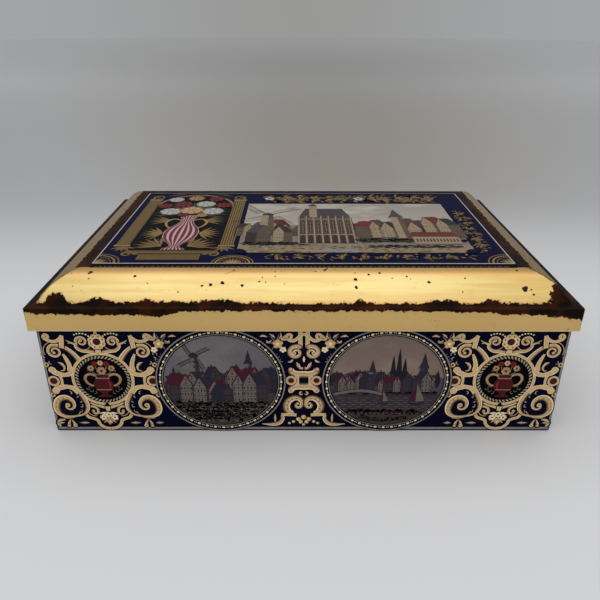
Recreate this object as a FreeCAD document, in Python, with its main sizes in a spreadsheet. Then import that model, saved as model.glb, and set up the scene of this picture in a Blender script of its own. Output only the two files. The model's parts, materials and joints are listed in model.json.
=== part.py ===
import FreeCAD, Part
import math
import os

import Sketcher
from FreeCAD import Vector

# Hinged storage tin in printed tinplate. Millimetres, +Z up, front towards -Y, length along X.
# The origin is the centre of the underside. The lid is closed.

sizes = [
    ("sheet", 0.3, "thickness of the tinplate"),
    ("box_length", 323.0, "wall, outer face to outer face, along X"),
    ("box_width", 220.0, "wall, outer face to outer face, along Y"),
    ("box_height", 90.75, "underside to the top of the rolled rim"),
    ("corner_radius", 1.5, "upright corners of the wall, outside"),
    ("bottom_bend", 0.5, "bend from the wall to the bottom flange, outside"),
    ("flange_width", 6.0, "bottom flange, from the wall's outer face inwards"),
    ("rim_radius", 1.05, "bead that the wall's upper edge is rolled into"),
    ("seam_width", 4.5, "lock seam up the middle of the back wall"),
    ("seam_depth", 0.6, "how far the lock seam stands into the tin"),
    ("seam_play", 0.5, "between the seam's ends and what lies below and above"),
    ("base_edge_height", 5.0, "turned-up edge of the base plate"),
    ("base_bend", 0.6, "bend at the foot of that edge, outside"),
    ("base_play", 0.03, "between the base plate's edge and the wall"),
    ("panel_inset", 17.0, "raised base panel, from the plate's edge"),
    ("panel_rise", 2.0, "how far the base panel is raised"),
    ("panel_corner", 12.0, "corner radius of the raised base panel"),
    ("panel_slope_angle", 35.0, "lean of the raised panel's sides"),
    ("lid_gap", 3.2, "between the wall and the inside of the lid's skirt"),
    ("seat_gap", 0.15, "between the rolled rim and the lid's ledge"),
    ("lid_corner", 1.2, "upright corners of the skirt, outside"),
    ("skirt_height", 15.0, "top of the ledge to the skirt's lower edge"),
    ("fold_radius", 0.5, "fold from the skirt to the ledge, outside"),
    ("crown_rise", 15.6, "top of the ledge to the top panel"),
    ("crown_radius", 28.0, "convex border round the top panel, outside"),
    ("crown_inset", 30.0, "edge of the flat top panel, from the skirt's face"),
    ("hem_height", 4.0, "hem folded inside the skirt's lower edge"),
    ("hem_fold", 0.2, "slant on the hem's folded edge, inside and outside"),
    ("hinge_wire_radius", 1.0, "hinge pin"),
    ("hinge_play", 0.05, "between the hinge pin and what is rolled round it"),
    ("hinge_roll_length", 300.0, "rolled stretch of the lid's rear edge"),
    ("hinge_wrap_angle", 290.0, "how far the edge is rolled round the pin"),
    ("pin_setback", 0.5, "pin's ends inside the ends of the roll"),
    ("strap_inset", 55.0, "end of the hinge roll to the middle of a hinge strap"),
    ("strap_width", 24.0, "hinge strap along X"),
    ("strap_length", 17.0, "hinge pin's axis down to the strap's lower end"),
    ("strap_corner", 3.0, "lower corners of the strap"),
    ("strap_jog_drop", 2.2, "pin's axis down to the strap's jog"),
    ("strap_jog_height", 2.4, "height of the jog"),
    ("notch_play", 0.4, "between a strap and its notch in the lid"),
    ("rivet_spacing", 12.0, "middle of one rivet to the other's"),
    ("rivet_edge", 5.0, "strap's lower end up to the rivets"),
    ("rivet_radius", 1.2, "shank"),
    ("rivet_play", 0.02, "between the shank and its holes"),
    ("rivet_head_radius", 2.4, "outer and inner head"),
    ("rivet_head_height", 0.9, "domed outer head"),
    ("rivet_tail_height", 0.5, "flat inner head"),
    ("overrun", 2.0, "how far every cut runs past what it cuts"),
]

doc = FreeCAD.newDocument("storage_tin")
sheet = doc.addObject("Spreadsheet::Sheet", "Sizes")
for row, (alias, number, note) in enumerate(sizes, start=1):
    sheet.set("A%d" % row, note)
    sheet.set("B%d" % row, str(number))
    sheet.setAlias("B%d" % row, alias)
doc.recompute()

# Sizes worked out from the sheet, as expressions.
wall_x = "Sizes.box_length / 2"
wall_y = "Sizes.box_width / 2"
rim_z = "(Sizes.box_height - Sizes.rim_radius)"
lid_reach = "(Sizes.lid_gap + Sizes.sheet)"
lid_x = "(" + wall_x + " + " + lid_reach + ")"
lid_y = "(" + wall_y + " + " + lid_reach + ")"
ledge_z = "(Sizes.box_height + Sizes.seat_gap + Sizes.sheet)"
skirt_z = "(" + ledge_z + " - Sizes.skirt_height)"
top_z = "(" + ledge_z + " + Sizes.crown_rise)"
knuckle_in = "(Sizes.hinge_wire_radius + Sizes.hinge_play)"
knuckle_out = "(" + knuckle_in + " + Sizes.sheet)"
hinge_y = "(" + lid_y + " - " + knuckle_out + ")"
hinge_z = "(" + skirt_z + " + " + knuckle_out + ")"
strap_x = "(Sizes.hinge_roll_length / 2 - Sizes.strap_inset)"
rivet_z = "(" + hinge_z + " - Sizes.strap_length + Sizes.rivet_edge)"

# Two points nearer than this lie at the same height or place.
same_place = 1e-6
half_turn = 180
full_turn = 360


def value(expression):
    return float(sheet.evalExpression(expression))


def new_body(label):
    body = doc.addObject("PartDesign::Body", label)
    body.Label = label
    return body


def new_sketch(body, role, name, offset=None):
    """A sketch on one of the body's own origin planes, moved along its normal."""
    plane = [each for each in body.Origin.OriginFeatures if each.Role == role][0]
    sketch = body.newObject("Sketcher::SketchObject", name)
    sketch.AttachmentSupport = [(plane, "")]
    sketch.MapMode = "FlatFace"
    if offset:
        sketch.setExpression(".AttachmentOffset.Base.z", offset)
    return sketch


def fix(sketch, kind, expression, *where):
    number = value(expression)
    index = sketch.addConstraint(Sketcher.Constraint(kind, *where, number))
    sketch.setExpression("Constraints[%d]" % index, expression)


def pin_point(sketch, element, end, point):
    """Holds one end of an element at a place given by two expressions."""
    fix(sketch, "DistanceX", point[0], -1, 1, element, end)
    fix(sketch, "DistanceY", point[1], -1, 1, element, end)


def circle(sketch, centre, radius):
    middle = Vector(value(centre[0]), value(centre[1]), 0)
    element = sketch.addGeometry(Part.Circle(middle, Vector(0, 0, 1), value(radius)))
    pin_point(sketch, element, 3, centre)
    fix(sketch, "Radius", radius, element)


def arc_between(start, end, radius, turn, large):
    """Arc from start to end, turning left (1) or right (-1)."""
    chord = end - start
    half = chord.Length / 2
    side = Vector(-chord.y, chord.x, 0).normalize()
    reach = math.sqrt(max(radius * radius - half * half, 0)) * (-1 if large else 1)
    centre = (start + end) / 2 + side * reach * turn
    sweep = 2 * math.asin(min(half / radius, 1))
    if large:
        sweep = 2 * math.pi - sweep
    first = math.atan2(start.y - centre.y, start.x - centre.x)
    angle = first + turn * sweep / 2
    middle = centre + Vector(math.cos(angle), math.sin(angle), 0) * radius
    return Part.Arc(start, middle, end)


def outline(sketch, *steps):
    """Closed outline. A step is a point, or a point with the arc that leads on from it."""
    elements = []
    for this, after in zip(steps, steps[1:] + steps[:1]):
        start = Vector(value(this[0]), value(this[1]), 0)
        end = Vector(value(after[0]), value(after[1]), 0)
        if len(this) > 2:
            shape = arc_between(start, end, value(this[2]), this[3], len(this) > 4)
        else:
            shape = Part.LineSegment(start, end)
        elements.append(sketch.addGeometry(shape))
    for place, (element, this) in enumerate(zip(elements, steps)):
        arc = len(this) > 2
        from_end = 2 if arc and this[3] < 0 else 1
        before = steps[place - 1]
        to_end = 1 if len(before) > 2 and before[3] < 0 else 2
        sketch.addConstraint(
            Sketcher.Constraint("Coincident", elements[place - 1], to_end, element, from_end)
        )
        pin_point(sketch, element, from_end, this)
        if arc:
            fix(sketch, "Radius", this[2], element)


def rectangle(sketch, low, high):
    outline(sketch, low, (high[0], low[1]), high, (low[0], high[1]))


def rounded_rectangle(sketch, half_x, half_y, radius):
    """Rectangle round the sketch's origin, its four corners rounded alike."""
    near_x = "(" + half_x + " - " + radius + ")"
    near_y = "(" + half_y + " - " + radius + ")"
    outline(
        sketch,
        ("-" + near_x, "-(" + half_y + ")"),
        (near_x, "-(" + half_y + ")", radius, 1),
        (half_x, "-" + near_y),
        (half_x, near_y, radius, 1),
        (near_x, half_y),
        ("-" + near_x, half_y, radius, 1),
        ("-(" + half_x + ")", near_y),
        ("-(" + half_x + ")", "-" + near_y, radius, 1),
    )


def ring_point(centre, radius, angle):
    across = centre[0] + " + " + radius + " * cos(" + angle + ")"
    along = centre[1] + " + " + radius + " * sin(" + angle + ")"
    return across, along


def rolled_edge(sketch, centre, inside, outside, start, wrap, turn):
    """Section of a sheet rolled round a wire: a ring with a stretch left open."""
    end = "(" + start + (" + " if turn > 0 else " - ") + wrap + ")"
    outline(
        sketch,
        ring_point(centre, outside, start) + (outside, turn, "large"),
        ring_point(centre, outside, end),
        ring_point(centre, inside, end) + (inside, -turn, "large"),
        ring_point(centre, inside, start),
    )


def pad(body, sketch, name, length, both_ways=False, reverse=False):
    feature = body.newObject("PartDesign::Pad", name)
    feature.Profile = sketch
    feature.setExpression("Length", length)
    if both_ways:
        feature.SideType = "Symmetric"
    feature.Reversed = reverse
    doc.recompute()
    return feature


def pocket(body, sketch, name, length=None, both_ways=False, reverse=False):
    """A cut through all, or of a given length. It stops if nothing is cut."""
    before = body.Shape.Volume
    feature = body.newObject("PartDesign::Pocket", name)
    feature.Profile = sketch
    if length:
        feature.setExpression("Length", length)
    else:
        feature.Type = "ThroughAll"
    if both_ways:
        feature.SideType = "Symmetric"
    feature.Reversed = reverse
    doc.recompute()
    if not body.Shape.Volume < before:
        raise ValueError(name + " cuts nothing")
    return feature


def fillet(body, name, radius, edges):
    feature = body.newObject("PartDesign::Fillet", name)
    feature.Base = (feature.BaseFeature, edges)
    feature.setExpression("Radius", radius)
    doc.recompute()
    return feature


def edges_where(shape, test):
    """Names of the edges whose every vertex passes the test."""
    names = []
    for number, edge in enumerate(shape.Edges, start=1):
        if all(test(vertex.Point) for vertex in edge.Vertexes):
            names.append("Edge%d" % number)
    return names


def face_at(shape, height):
    """Name of the largest level face at a height."""
    best = None
    for number, face in enumerate(shape.Faces, start=1):
        if face.BoundBox.ZLength < same_place and abs(face.BoundBox.ZMin - height) < same_place:
            if best is None or face.Area > best[1]:
                best = ("Face%d" % number, face.Area)
    return best[0]


def hollow(body, name, face, wall):
    """Leaves a wall of the sheet's thickness and opens one face."""
    feature = body.newObject("PartDesign::Thickness", name)
    feature.Base = (feature.BaseFeature, [face])
    feature.setExpression("Value", wall)
    feature.Join = "Intersection"
    feature.Reversed = True
    doc.recompute()
    return feature


def make_body_wall():
    """Four walls from one bent blank, with a rolled rim, a bottom flange and a lock seam."""
    body = new_body("body_wall")
    sketch = new_sketch(body, "XY_Plane", "wall_plan")
    rounded_rectangle(sketch, wall_x, wall_y, "Sizes.corner_radius")
    pad(body, sketch, "wall_block", rim_z)
    bottom = edges_where(body.Shape, lambda point: abs(point.z) < same_place)
    fillet(body, "bottom_bend", "Sizes.bottom_bend", bottom)
    sketch = new_sketch(body, "XY_Plane", "cavity_plan", "Sizes.sheet")
    inner_x = "(" + wall_x + " - Sizes.sheet)"
    inner_y = "(" + wall_y + " - Sizes.sheet)"
    rounded_rectangle(sketch, inner_x, inner_y, "(Sizes.corner_radius - Sizes.sheet)")
    pocket(body, sketch, "cavity", reverse=True)

    sketch = new_sketch(body, "XY_Plane", "flange_opening")
    opening_x = "(" + wall_x + " - Sizes.flange_width)"
    opening_y = "(" + wall_y + " - Sizes.flange_width)"
    rounded_rectangle(sketch, opening_x, opening_y, "Sizes.corner_radius")
    pocket(body, sketch, "flange_cut", reverse=True)

    path = new_sketch(body, "XY_Plane", "rim_path", rim_z)
    beside = " + Sizes.rim_radius - Sizes.sheet)"
    path_x = "(" + wall_x + beside
    path_y = "(" + wall_y + beside
    rounded_rectangle(path, path_x, path_y, "(Sizes.corner_radius" + beside)
    section = new_sketch(body, "XZ_Plane", "rim_section")
    circle(section, (path_x, rim_z), "Sizes.rim_radius")
    rim = body.newObject("PartDesign::AdditivePipe", "rolled_rim")
    rim.Profile = section
    rim.Spine = path
    doc.recompute()

    seam_top = "(" + rim_z + " - Sizes.seam_play)"
    seam_foot = "(Sizes.sheet + Sizes.base_edge_height + Sizes.seam_play)"
    sketch = new_sketch(body, "XY_Plane", "seam_plan", seam_foot)
    rectangle(
        sketch,
        ("-Sizes.seam_width / 2", "(" + inner_y + " - Sizes.seam_depth)"),
        ("Sizes.seam_width / 2", inner_y),
    )
    pad(body, sketch, "lock_seam", seam_top + " - " + seam_foot)

    sketch = new_sketch(body, "XZ_Plane", "rivet_holes")
    for centre in rivet_centres():
        circle(sketch, (centre, rivet_z), "Sizes.rivet_radius + Sizes.rivet_play")
    pocket(body, sketch, "rivet_hole_cut")
    return body


def rivet_centres():
    """X of the four rivets, two to a strap, as expressions."""
    return [
        side + strap_x + step + "Sizes.rivet_spacing / 2"
        for side in ("-", "")
        for step in (" - ", " + ")
    ]


def make_base_plate():
    """Shallow tray that sits inside the wall on the bottom flange, with a raised panel."""
    body = new_body("base_plate")
    shrink = " - Sizes.sheet - Sizes.base_play)"
    edge_x = "(" + wall_x + shrink
    edge_y = "(" + wall_y + shrink
    corner = "(Sizes.corner_radius" + shrink
    sketch = new_sketch(body, "XY_Plane", "plate_plan", "Sizes.sheet")
    rounded_rectangle(sketch, edge_x, edge_y, corner)
    pad(body, sketch, "plate_block", "Sizes.base_edge_height")
    underside = value("Sizes.sheet")
    bottom = edges_where(body.Shape, lambda point: abs(point.z - underside) < same_place)
    fillet(body, "plate_bend", "Sizes.base_bend", bottom)
    brim = value("Sizes.sheet + Sizes.base_edge_height")
    hollow(body, "plate_sheet", face_at(body.Shape, brim), "Sizes.sheet")

    panel_x = "(" + edge_x + " - Sizes.panel_inset)"
    panel_y = "(" + edge_y + " - Sizes.panel_inset)"
    slope = "-Sizes.panel_slope_angle"
    sketch = new_sketch(body, "XY_Plane", "panel_top_plan", "Sizes.sheet")
    rounded_rectangle(
        sketch,
        "(" + panel_x + " + Sizes.sheet)",
        "(" + panel_y + " + Sizes.sheet)",
        "(Sizes.panel_corner + Sizes.sheet)",
    )
    raised = pad(body, sketch, "panel_top", "Sizes.panel_rise + Sizes.sheet")
    raised.setExpression("TaperAngle", slope)
    sketch = new_sketch(body, "XY_Plane", "panel_under_plan", "Sizes.sheet")
    rounded_rectangle(sketch, panel_x, panel_y, "Sizes.panel_corner")
    hollowed = pocket(body, sketch, "panel_under", "Sizes.panel_rise", reverse=True)
    hollowed.setExpression("TaperAngle", slope)
    doc.recompute()
    return body


def make_hinge_strap(label, side):
    """Strap riveted to the back wall, jogged outwards and rolled round the hinge pin."""
    body = new_body(label)
    centre_x = side + strap_x
    sketch = new_sketch(body, "YZ_Plane", label + "_section", centre_x)
    foot = "(" + hinge_z + " - Sizes.strap_length)"
    jog_top = "(" + hinge_z + " - Sizes.strap_jog_drop)"
    jog_foot = "(" + jog_top + " - Sizes.strap_jog_height)"
    leaf_out = "(" + wall_y + " + Sizes.sheet)"
    neck_in = "(" + hinge_y + " - " + knuckle_out + ")"
    neck_out = "(" + hinge_y + " - " + knuckle_in + ")"
    end = "(%d - Sizes.hinge_wrap_angle)" % half_turn
    centre = (hinge_y, hinge_z)
    outline(
        sketch,
        (wall_y, foot),
        (leaf_out, foot),
        (leaf_out, jog_foot),
        (neck_out, jog_top),
        (neck_out, hinge_z, knuckle_in, -1, "large"),
        ring_point(centre, knuckle_in, end),
        ring_point(centre, knuckle_out, end) + (knuckle_out, 1, "large"),
        (neck_in, hinge_z),
        (neck_in, jog_top),
        (wall_y, jog_foot),
    )
    pad(body, sketch, label + "_pad", "Sizes.strap_width", both_ways=True)
    foot_z = value(foot)
    lower = [
        "Edge%d" % number
        for number, edge in enumerate(body.Shape.Edges, start=1)
        if abs(edge.BoundBox.ZMax - foot_z) < same_place and edge.BoundBox.XLength < same_place
    ]
    fillet(body, label + "_corners", "Sizes.strap_corner", lower)
    sketch = new_sketch(body, "XZ_Plane", label + "_holes")
    for step in (" - ", " + "):
        hole_x = centre_x + step + "Sizes.rivet_spacing / 2"
        circle(sketch, (hole_x, rivet_z), "Sizes.rivet_radius + Sizes.rivet_play")
    pocket(body, sketch, label + "_hole_cut")
    return body


def make_strap_rivets():
    """Four rivets, each with a domed outer head and a flat inner head."""
    body = new_body("strap_rivets")
    body.AllowCompound = True
    inside = "(" + wall_y + " - Sizes.sheet)"
    tail = "(" + inside + " - Sizes.rivet_tail_height)"
    outside = "(" + wall_y + " + Sizes.sheet)"
    crown = "(" + outside + " + Sizes.rivet_head_height)"
    head = "(" + rivet_z + " + Sizes.rivet_head_radius)"
    shank = "(" + rivet_z + " + Sizes.rivet_radius)"
    dome = (
        "((Sizes.rivet_head_radius ^ 2 + Sizes.rivet_head_height ^ 2)"
        " / (2 * Sizes.rivet_head_height))"
    )
    turned = []
    for number, centre in enumerate(rivet_centres(), start=1):
        sketch = new_sketch(body, "YZ_Plane", "rivet_section_%d" % number, centre)
        outline(
            sketch,
            (tail, rivet_z),
            (crown, rivet_z, dome, 1),
            (outside, head),
            (outside, shank),
            (inside, shank),
            (inside, head),
            (tail, head),
        )
        axis = sketch.addGeometry(
            Part.LineSegment(
                Vector(value(tail), value(rivet_z), 0), Vector(value(crown), value(rivet_z), 0)
            ),
            True,
        )
        pin_point(sketch, axis, 1, (tail, rivet_z))
        pin_point(sketch, axis, 2, (crown, rivet_z))
        rivet = body.newObject("PartDesign::Revolution", "rivet_%d" % number)
        rivet.Profile = sketch
        rivet.ReferenceAxis = (sketch, ["Axis0"])
        rivet.Angle = full_turn
        doc.recompute()
        turned.append(rivet)
    return body


def crown_cut(body, role, name, half, inset):
    """Cuts two opposite sides of the lid down to the ledge and the convex border."""
    sketch = new_sketch(body, role, name + "_section")
    radius = "(Sizes.crown_radius - " + inset + ")"
    top = "(" + top_z + " - " + inset + ")"
    ledge = "(" + ledge_z + " - " + inset + ")"
    reach = "sqrt(" + radius + " ^ 2 - (" + ledge + " - " + top + " + " + radius + ") ^ 2)"
    edge = "(" + half + " - Sizes.crown_inset)"
    ledge_end = "(" + edge + " + " + reach + ")"
    far = "(" + half + " + Sizes.overrun)"
    above = "(" + top_z + " + Sizes.overrun)"
    for side, turn in (("", -1), ("-", 1)):
        outline(
            sketch,
            (side + edge, above),
            (side + edge, top, radius, turn),
            (side + ledge_end, ledge),
            (side + far, ledge),
            (side + far, above),
        )
    pocket(body, sketch, name, both_ways=True)


def crowned_block(label, inset, foot):
    """Solid with the lid's outer form, set in by the inset on every side but the lowest."""
    body = new_body(label)
    sketch = new_sketch(body, "XY_Plane", label + "_plan", foot)
    block_x = "(" + lid_x + " - " + inset + ")"
    block_y = "(" + lid_y + " - " + inset + ")"
    corner = "(Sizes.lid_corner - " + inset + ")"
    rounded_rectangle(sketch, block_x, block_y, corner)
    pad(body, sketch, label + "_pad", top_z + " - " + inset + " - " + foot)
    crown_cut(body, "XZ_Plane", label + "_crown_sides", lid_x, inset)
    crown_cut(body, "YZ_Plane", label + "_crown_front_and_back", lid_y, inset)
    ledge = value(ledge_z + " - " + inset)
    flat_x = value(block_x + " - " + corner) - same_place
    flat_y = value(block_y + " - " + corner) - same_place
    fold = edges_where(
        body.Shape,
        lambda point: abs(point.z - ledge) < same_place
        and (abs(point.x) > flat_x or abs(point.y) > flat_y),
    )
    return body, fold


def make_lid_shell():
    """Lid drawn from one sheet: top panel, convex border, ledge, skirt, hem and hinge roll."""
    body, fold = crowned_block("lid_shell", "0", skirt_z)
    fillet(body, "skirt_fold", "Sizes.fold_radius", fold)
    core, _ = crowned_block("lid_core", "Sizes.sheet", "(" + skirt_z + " - Sizes.overrun)")
    hollowed = body.newObject("PartDesign::Boolean", "lid_sheet")
    hollowed.setObjects([core])
    hollowed.Type = "Cut"
    doc.recompute()

    hem_x = "(" + lid_x + " - Sizes.sheet)"
    hem_y = "(" + lid_y + " - Sizes.sheet)"
    hem_corner = "(Sizes.lid_corner - Sizes.sheet)"
    sketch = new_sketch(body, "XY_Plane", "hem_plan", skirt_z)
    rounded_rectangle(sketch, hem_x, hem_y, hem_corner)
    less = " - Sizes.sheet)"
    rounded_rectangle(sketch, "(" + hem_x + less, "(" + hem_y + less, "(" + hem_corner + less)
    pad(body, sketch, "hem", "Sizes.hem_height")
    lower_edge = value(skirt_z)
    folded = edges_where(body.Shape, lambda point: abs(point.z - lower_edge) < same_place)
    slant = body.newObject("PartDesign::Chamfer", "hem_fold")
    slant.Base = (slant.BaseFeature, folded)
    slant.setExpression("Size", "Sizes.hem_fold")
    doc.recompute()

    roll_half = "Sizes.hinge_roll_length / 2"
    sketch = new_sketch(body, "XY_Plane", "hem_gap_plan", skirt_z)
    rectangle(
        sketch,
        ("-" + roll_half, "(" + hem_y + " - Sizes.sheet - Sizes.overrun)"),
        (roll_half, hem_y),
    )
    pocket(body, sketch, "hem_gap", "Sizes.hem_height", reverse=True)
    sketch = new_sketch(body, "XY_Plane", "rear_edge_plan", skirt_z)
    rectangle(sketch, ("-" + roll_half, hem_y), (roll_half, "(" + lid_y + " + Sizes.overrun)"))
    pocket(body, sketch, "rear_edge", knuckle_out, reverse=True)
    sketch = new_sketch(body, "YZ_Plane", "hinge_roll_section")
    centre = (hinge_y, hinge_z)
    rolled_edge(sketch, centre, knuckle_in, knuckle_out, "0", "Sizes.hinge_wrap_angle", -1)
    pad(body, sketch, "hinge_roll", "Sizes.hinge_roll_length", both_ways=True)

    sketch = new_sketch(body, "XZ_Plane", "strap_notches")
    notch_half = "(Sizes.strap_width / 2 + Sizes.notch_play)"
    notch_top = "(" + hinge_z + " + " + knuckle_out + " + Sizes.notch_play)"
    for side in ("-", ""):
        middle = side + strap_x
        rectangle(
            sketch,
            ("(" + middle + " - " + notch_half + ")", "(" + skirt_z + " - Sizes.overrun)"),
            ("(" + middle + " + " + notch_half + ")", notch_top),
        )
    pocket(body, sketch, "strap_notch_cut")
    return body


def make_hinge_wire():
    body = new_body("hinge_wire")
    sketch = new_sketch(body, "YZ_Plane", "pin_section")
    circle(sketch, (hinge_y, hinge_z), "Sizes.hinge_wire_radius")
    pad(body, sketch, "pin", "Sizes.hinge_roll_length - 2 * Sizes.pin_setback", both_ways=True)
    return body


def check(body):
    """Stops at a failed object or a shape that isn't a whole solid."""
    for each in doc.Objects:
        if "Invalid" in each.State or "Error" in each.State:
            raise ValueError(each.Label + " failed: " + str(each.State))
    if body.Shape.isNull() or not body.Shape.isValid() or not body.Shape.Solids:
        raise ValueError(body.Label + " isn't a valid solid")


pieces = [
    make_body_wall(),
    make_base_plate(),
    make_hinge_strap("hinge_strap_left", "-"),
    make_hinge_strap("hinge_strap_right", ""),
    make_strap_rivets(),
    make_lid_shell(),
    make_hinge_wire(),
]
doc.recompute()

os.makedirs("parts", exist_ok=True)
for piece in pieces:
    check(piece)
for piece in pieces:
    piece.Shape.exportStep("parts/" + piece.Label + ".step")
    box = piece.Shape.BoundBox
    print(
        "%-18s %d solid(s), %8.1f mm3, x %.2f..%.2f  y %.2f..%.2f  z %.2f..%.2f"
        % (
            piece.Label,
            len(piece.Shape.Solids),
            piece.Shape.Volume,
            box.XMin,
            box.XMax,
            box.YMin,
            box.YMax,
            box.ZMin,
            box.ZMax,
        )
    )
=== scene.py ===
import json
import math
import random

import bmesh
import bpy
from mathutils import Matrix, Vector


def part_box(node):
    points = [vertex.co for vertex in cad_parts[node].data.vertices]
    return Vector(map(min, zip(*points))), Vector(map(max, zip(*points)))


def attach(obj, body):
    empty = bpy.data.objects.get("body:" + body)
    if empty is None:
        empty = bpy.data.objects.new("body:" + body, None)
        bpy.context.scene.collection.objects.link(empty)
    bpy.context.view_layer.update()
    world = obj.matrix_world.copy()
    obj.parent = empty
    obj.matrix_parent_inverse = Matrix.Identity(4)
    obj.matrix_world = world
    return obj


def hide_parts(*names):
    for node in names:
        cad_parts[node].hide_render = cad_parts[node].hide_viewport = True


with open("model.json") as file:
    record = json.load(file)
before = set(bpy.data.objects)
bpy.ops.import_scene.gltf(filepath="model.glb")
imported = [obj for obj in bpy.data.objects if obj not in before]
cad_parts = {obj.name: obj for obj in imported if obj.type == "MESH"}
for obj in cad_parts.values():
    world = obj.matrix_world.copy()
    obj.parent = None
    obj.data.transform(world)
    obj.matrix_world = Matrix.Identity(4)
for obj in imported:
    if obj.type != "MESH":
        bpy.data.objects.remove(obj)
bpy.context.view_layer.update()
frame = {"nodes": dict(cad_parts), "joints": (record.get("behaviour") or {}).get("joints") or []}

mm = 0.001
wallLow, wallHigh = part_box("body_wall")
lidLow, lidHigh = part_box("lid_shell")
hingePoint = Vector(frame["joints"][0]["pos_m"])

# The faces that carry print, worked out from the frame, in millimetres
rimReach = 1.8                  # the rolled rim stands this far out from the wall
skirtHeight = 15.0              # from the lid's lower edge up to its ledge
wallHalfX = wallHigh.x / mm - rimReach
wallHalfY = wallHigh.y / mm - rimReach
lidHalfX, lidHalfY = lidHigh.x / mm, lidHigh.y / mm
ledgeHeight = lidLow.z / mm + skirtHeight


# Working with the operators

def makeActive(piece):
    bpy.ops.object.select_all(action="DESELECT")
    piece.select_set(True)
    bpy.context.view_layer.objects.active = piece


def startEditing(piece):        # with all of the piece selected
    makeActive(piece)
    bpy.ops.object.mode_set(mode="EDIT")
    bpy.ops.mesh.select_mode(type="EDGE")
    bpy.ops.mesh.select_all(action="SELECT")


def stopEditing():
    bpy.ops.object.mode_set(mode="OBJECT")


def pick(piece, kind, test):    # selects the faces or edges that pass the test
    shape = bmesh.from_edit_mesh(piece.data)
    bpy.ops.mesh.select_all(action="DESELECT")
    bpy.ops.mesh.select_mode(type=kind)
    for element in shape.faces if kind == "FACE" else shape.edges:
        element.select_set(test(element))
    shape.select_flush_mode()
    bmesh.update_edit_mesh(piece.data)


def middleOf(element):
    return sum((vertex.co for vertex in element.verts), Vector()) / len(element.verts)


def applyModifier(piece, kind, **settings):
    makeActive(piece)
    modifier = piece.modifiers.new(kind.lower(), kind)
    for name, value in settings.items():
        setattr(modifier, name, value)
    bpy.ops.object.modifier_apply(modifier=modifier.name)


# Short ways to write the nodes of a material or of the world

def linear(red, green, blue):   # a colour as read off a screen, 0 to 255, in Blender's own scale
    def channel(value):
        share = value / 255
        return share / 12.92 if share <= 0.04045 else ((share + 0.055) / 1.055) ** 2.4
    return (channel(red), channel(green), channel(blue), 1.0)


class Nodes:                    # a node tree, with the sums that its patterns need

    def __init__(self, tree):
        self.tree = tree

    def node(self, kind, **inputs):
        made = self.tree.nodes.new(kind)
        for name, value in inputs.items():
            self.feed(made.inputs[name], value)
        return made

    def feed(self, socket, value):
        if isinstance(value, bpy.types.NodeSocket):
            self.tree.links.new(value, socket)
        else:
            socket.default_value = value

    def math(self, operation, *values):
        made = self.tree.nodes.new("ShaderNodeMath")
        made.operation = operation
        for socket, value in zip(made.inputs, values):
            self.feed(socket, value)
        return made.outputs[0]

    def chain(self, operation, values):
        total = values[0]
        for value in values[1:]:
            total = self.math(operation, total, value)
        return total

    def add(self, *values):
        return self.chain("ADD", values)

    def take(self, one, other):
        return self.math("SUBTRACT", one, other)

    def times(self, *values):
        return self.chain("MULTIPLY", values)

    def most(self, *values):
        return self.chain("MAXIMUM", values)

    def least(self, *values):
        return self.chain("MINIMUM", values)

    def size(self, value):
        return self.math("ABSOLUTE", value)

    def reach(self, one, other):        # the length of two sides taken together
        return self.math("SQRT", self.add(self.times(one, one), self.times(other, other)))

    def rise(self, value, low, high):   # 0 at low, 1 at high, smooth between; either may be larger
        made = self.tree.nodes.new("ShaderNodeMapRange")
        made.interpolation_type = "SMOOTHSTEP"
        for socket, number in zip(made.inputs, (value, min(low, high), max(low, high), 0.0, 1.0)):
            self.feed(socket, number)
        result = made.outputs[0]
        return result if low <= high else self.take(1.0, result)

    def mix(self, share, first, second, blend="MIX"):
        made = self.tree.nodes.new("ShaderNodeMix")
        made.data_type, made.blend_type = "RGBA", blend
        sockets = (made.inputs["Factor"], made.inputs[6], made.inputs[7])
        for socket, value in zip(sockets, (share, first, second)):
            self.feed(socket, value)
        return made.outputs[2]


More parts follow.
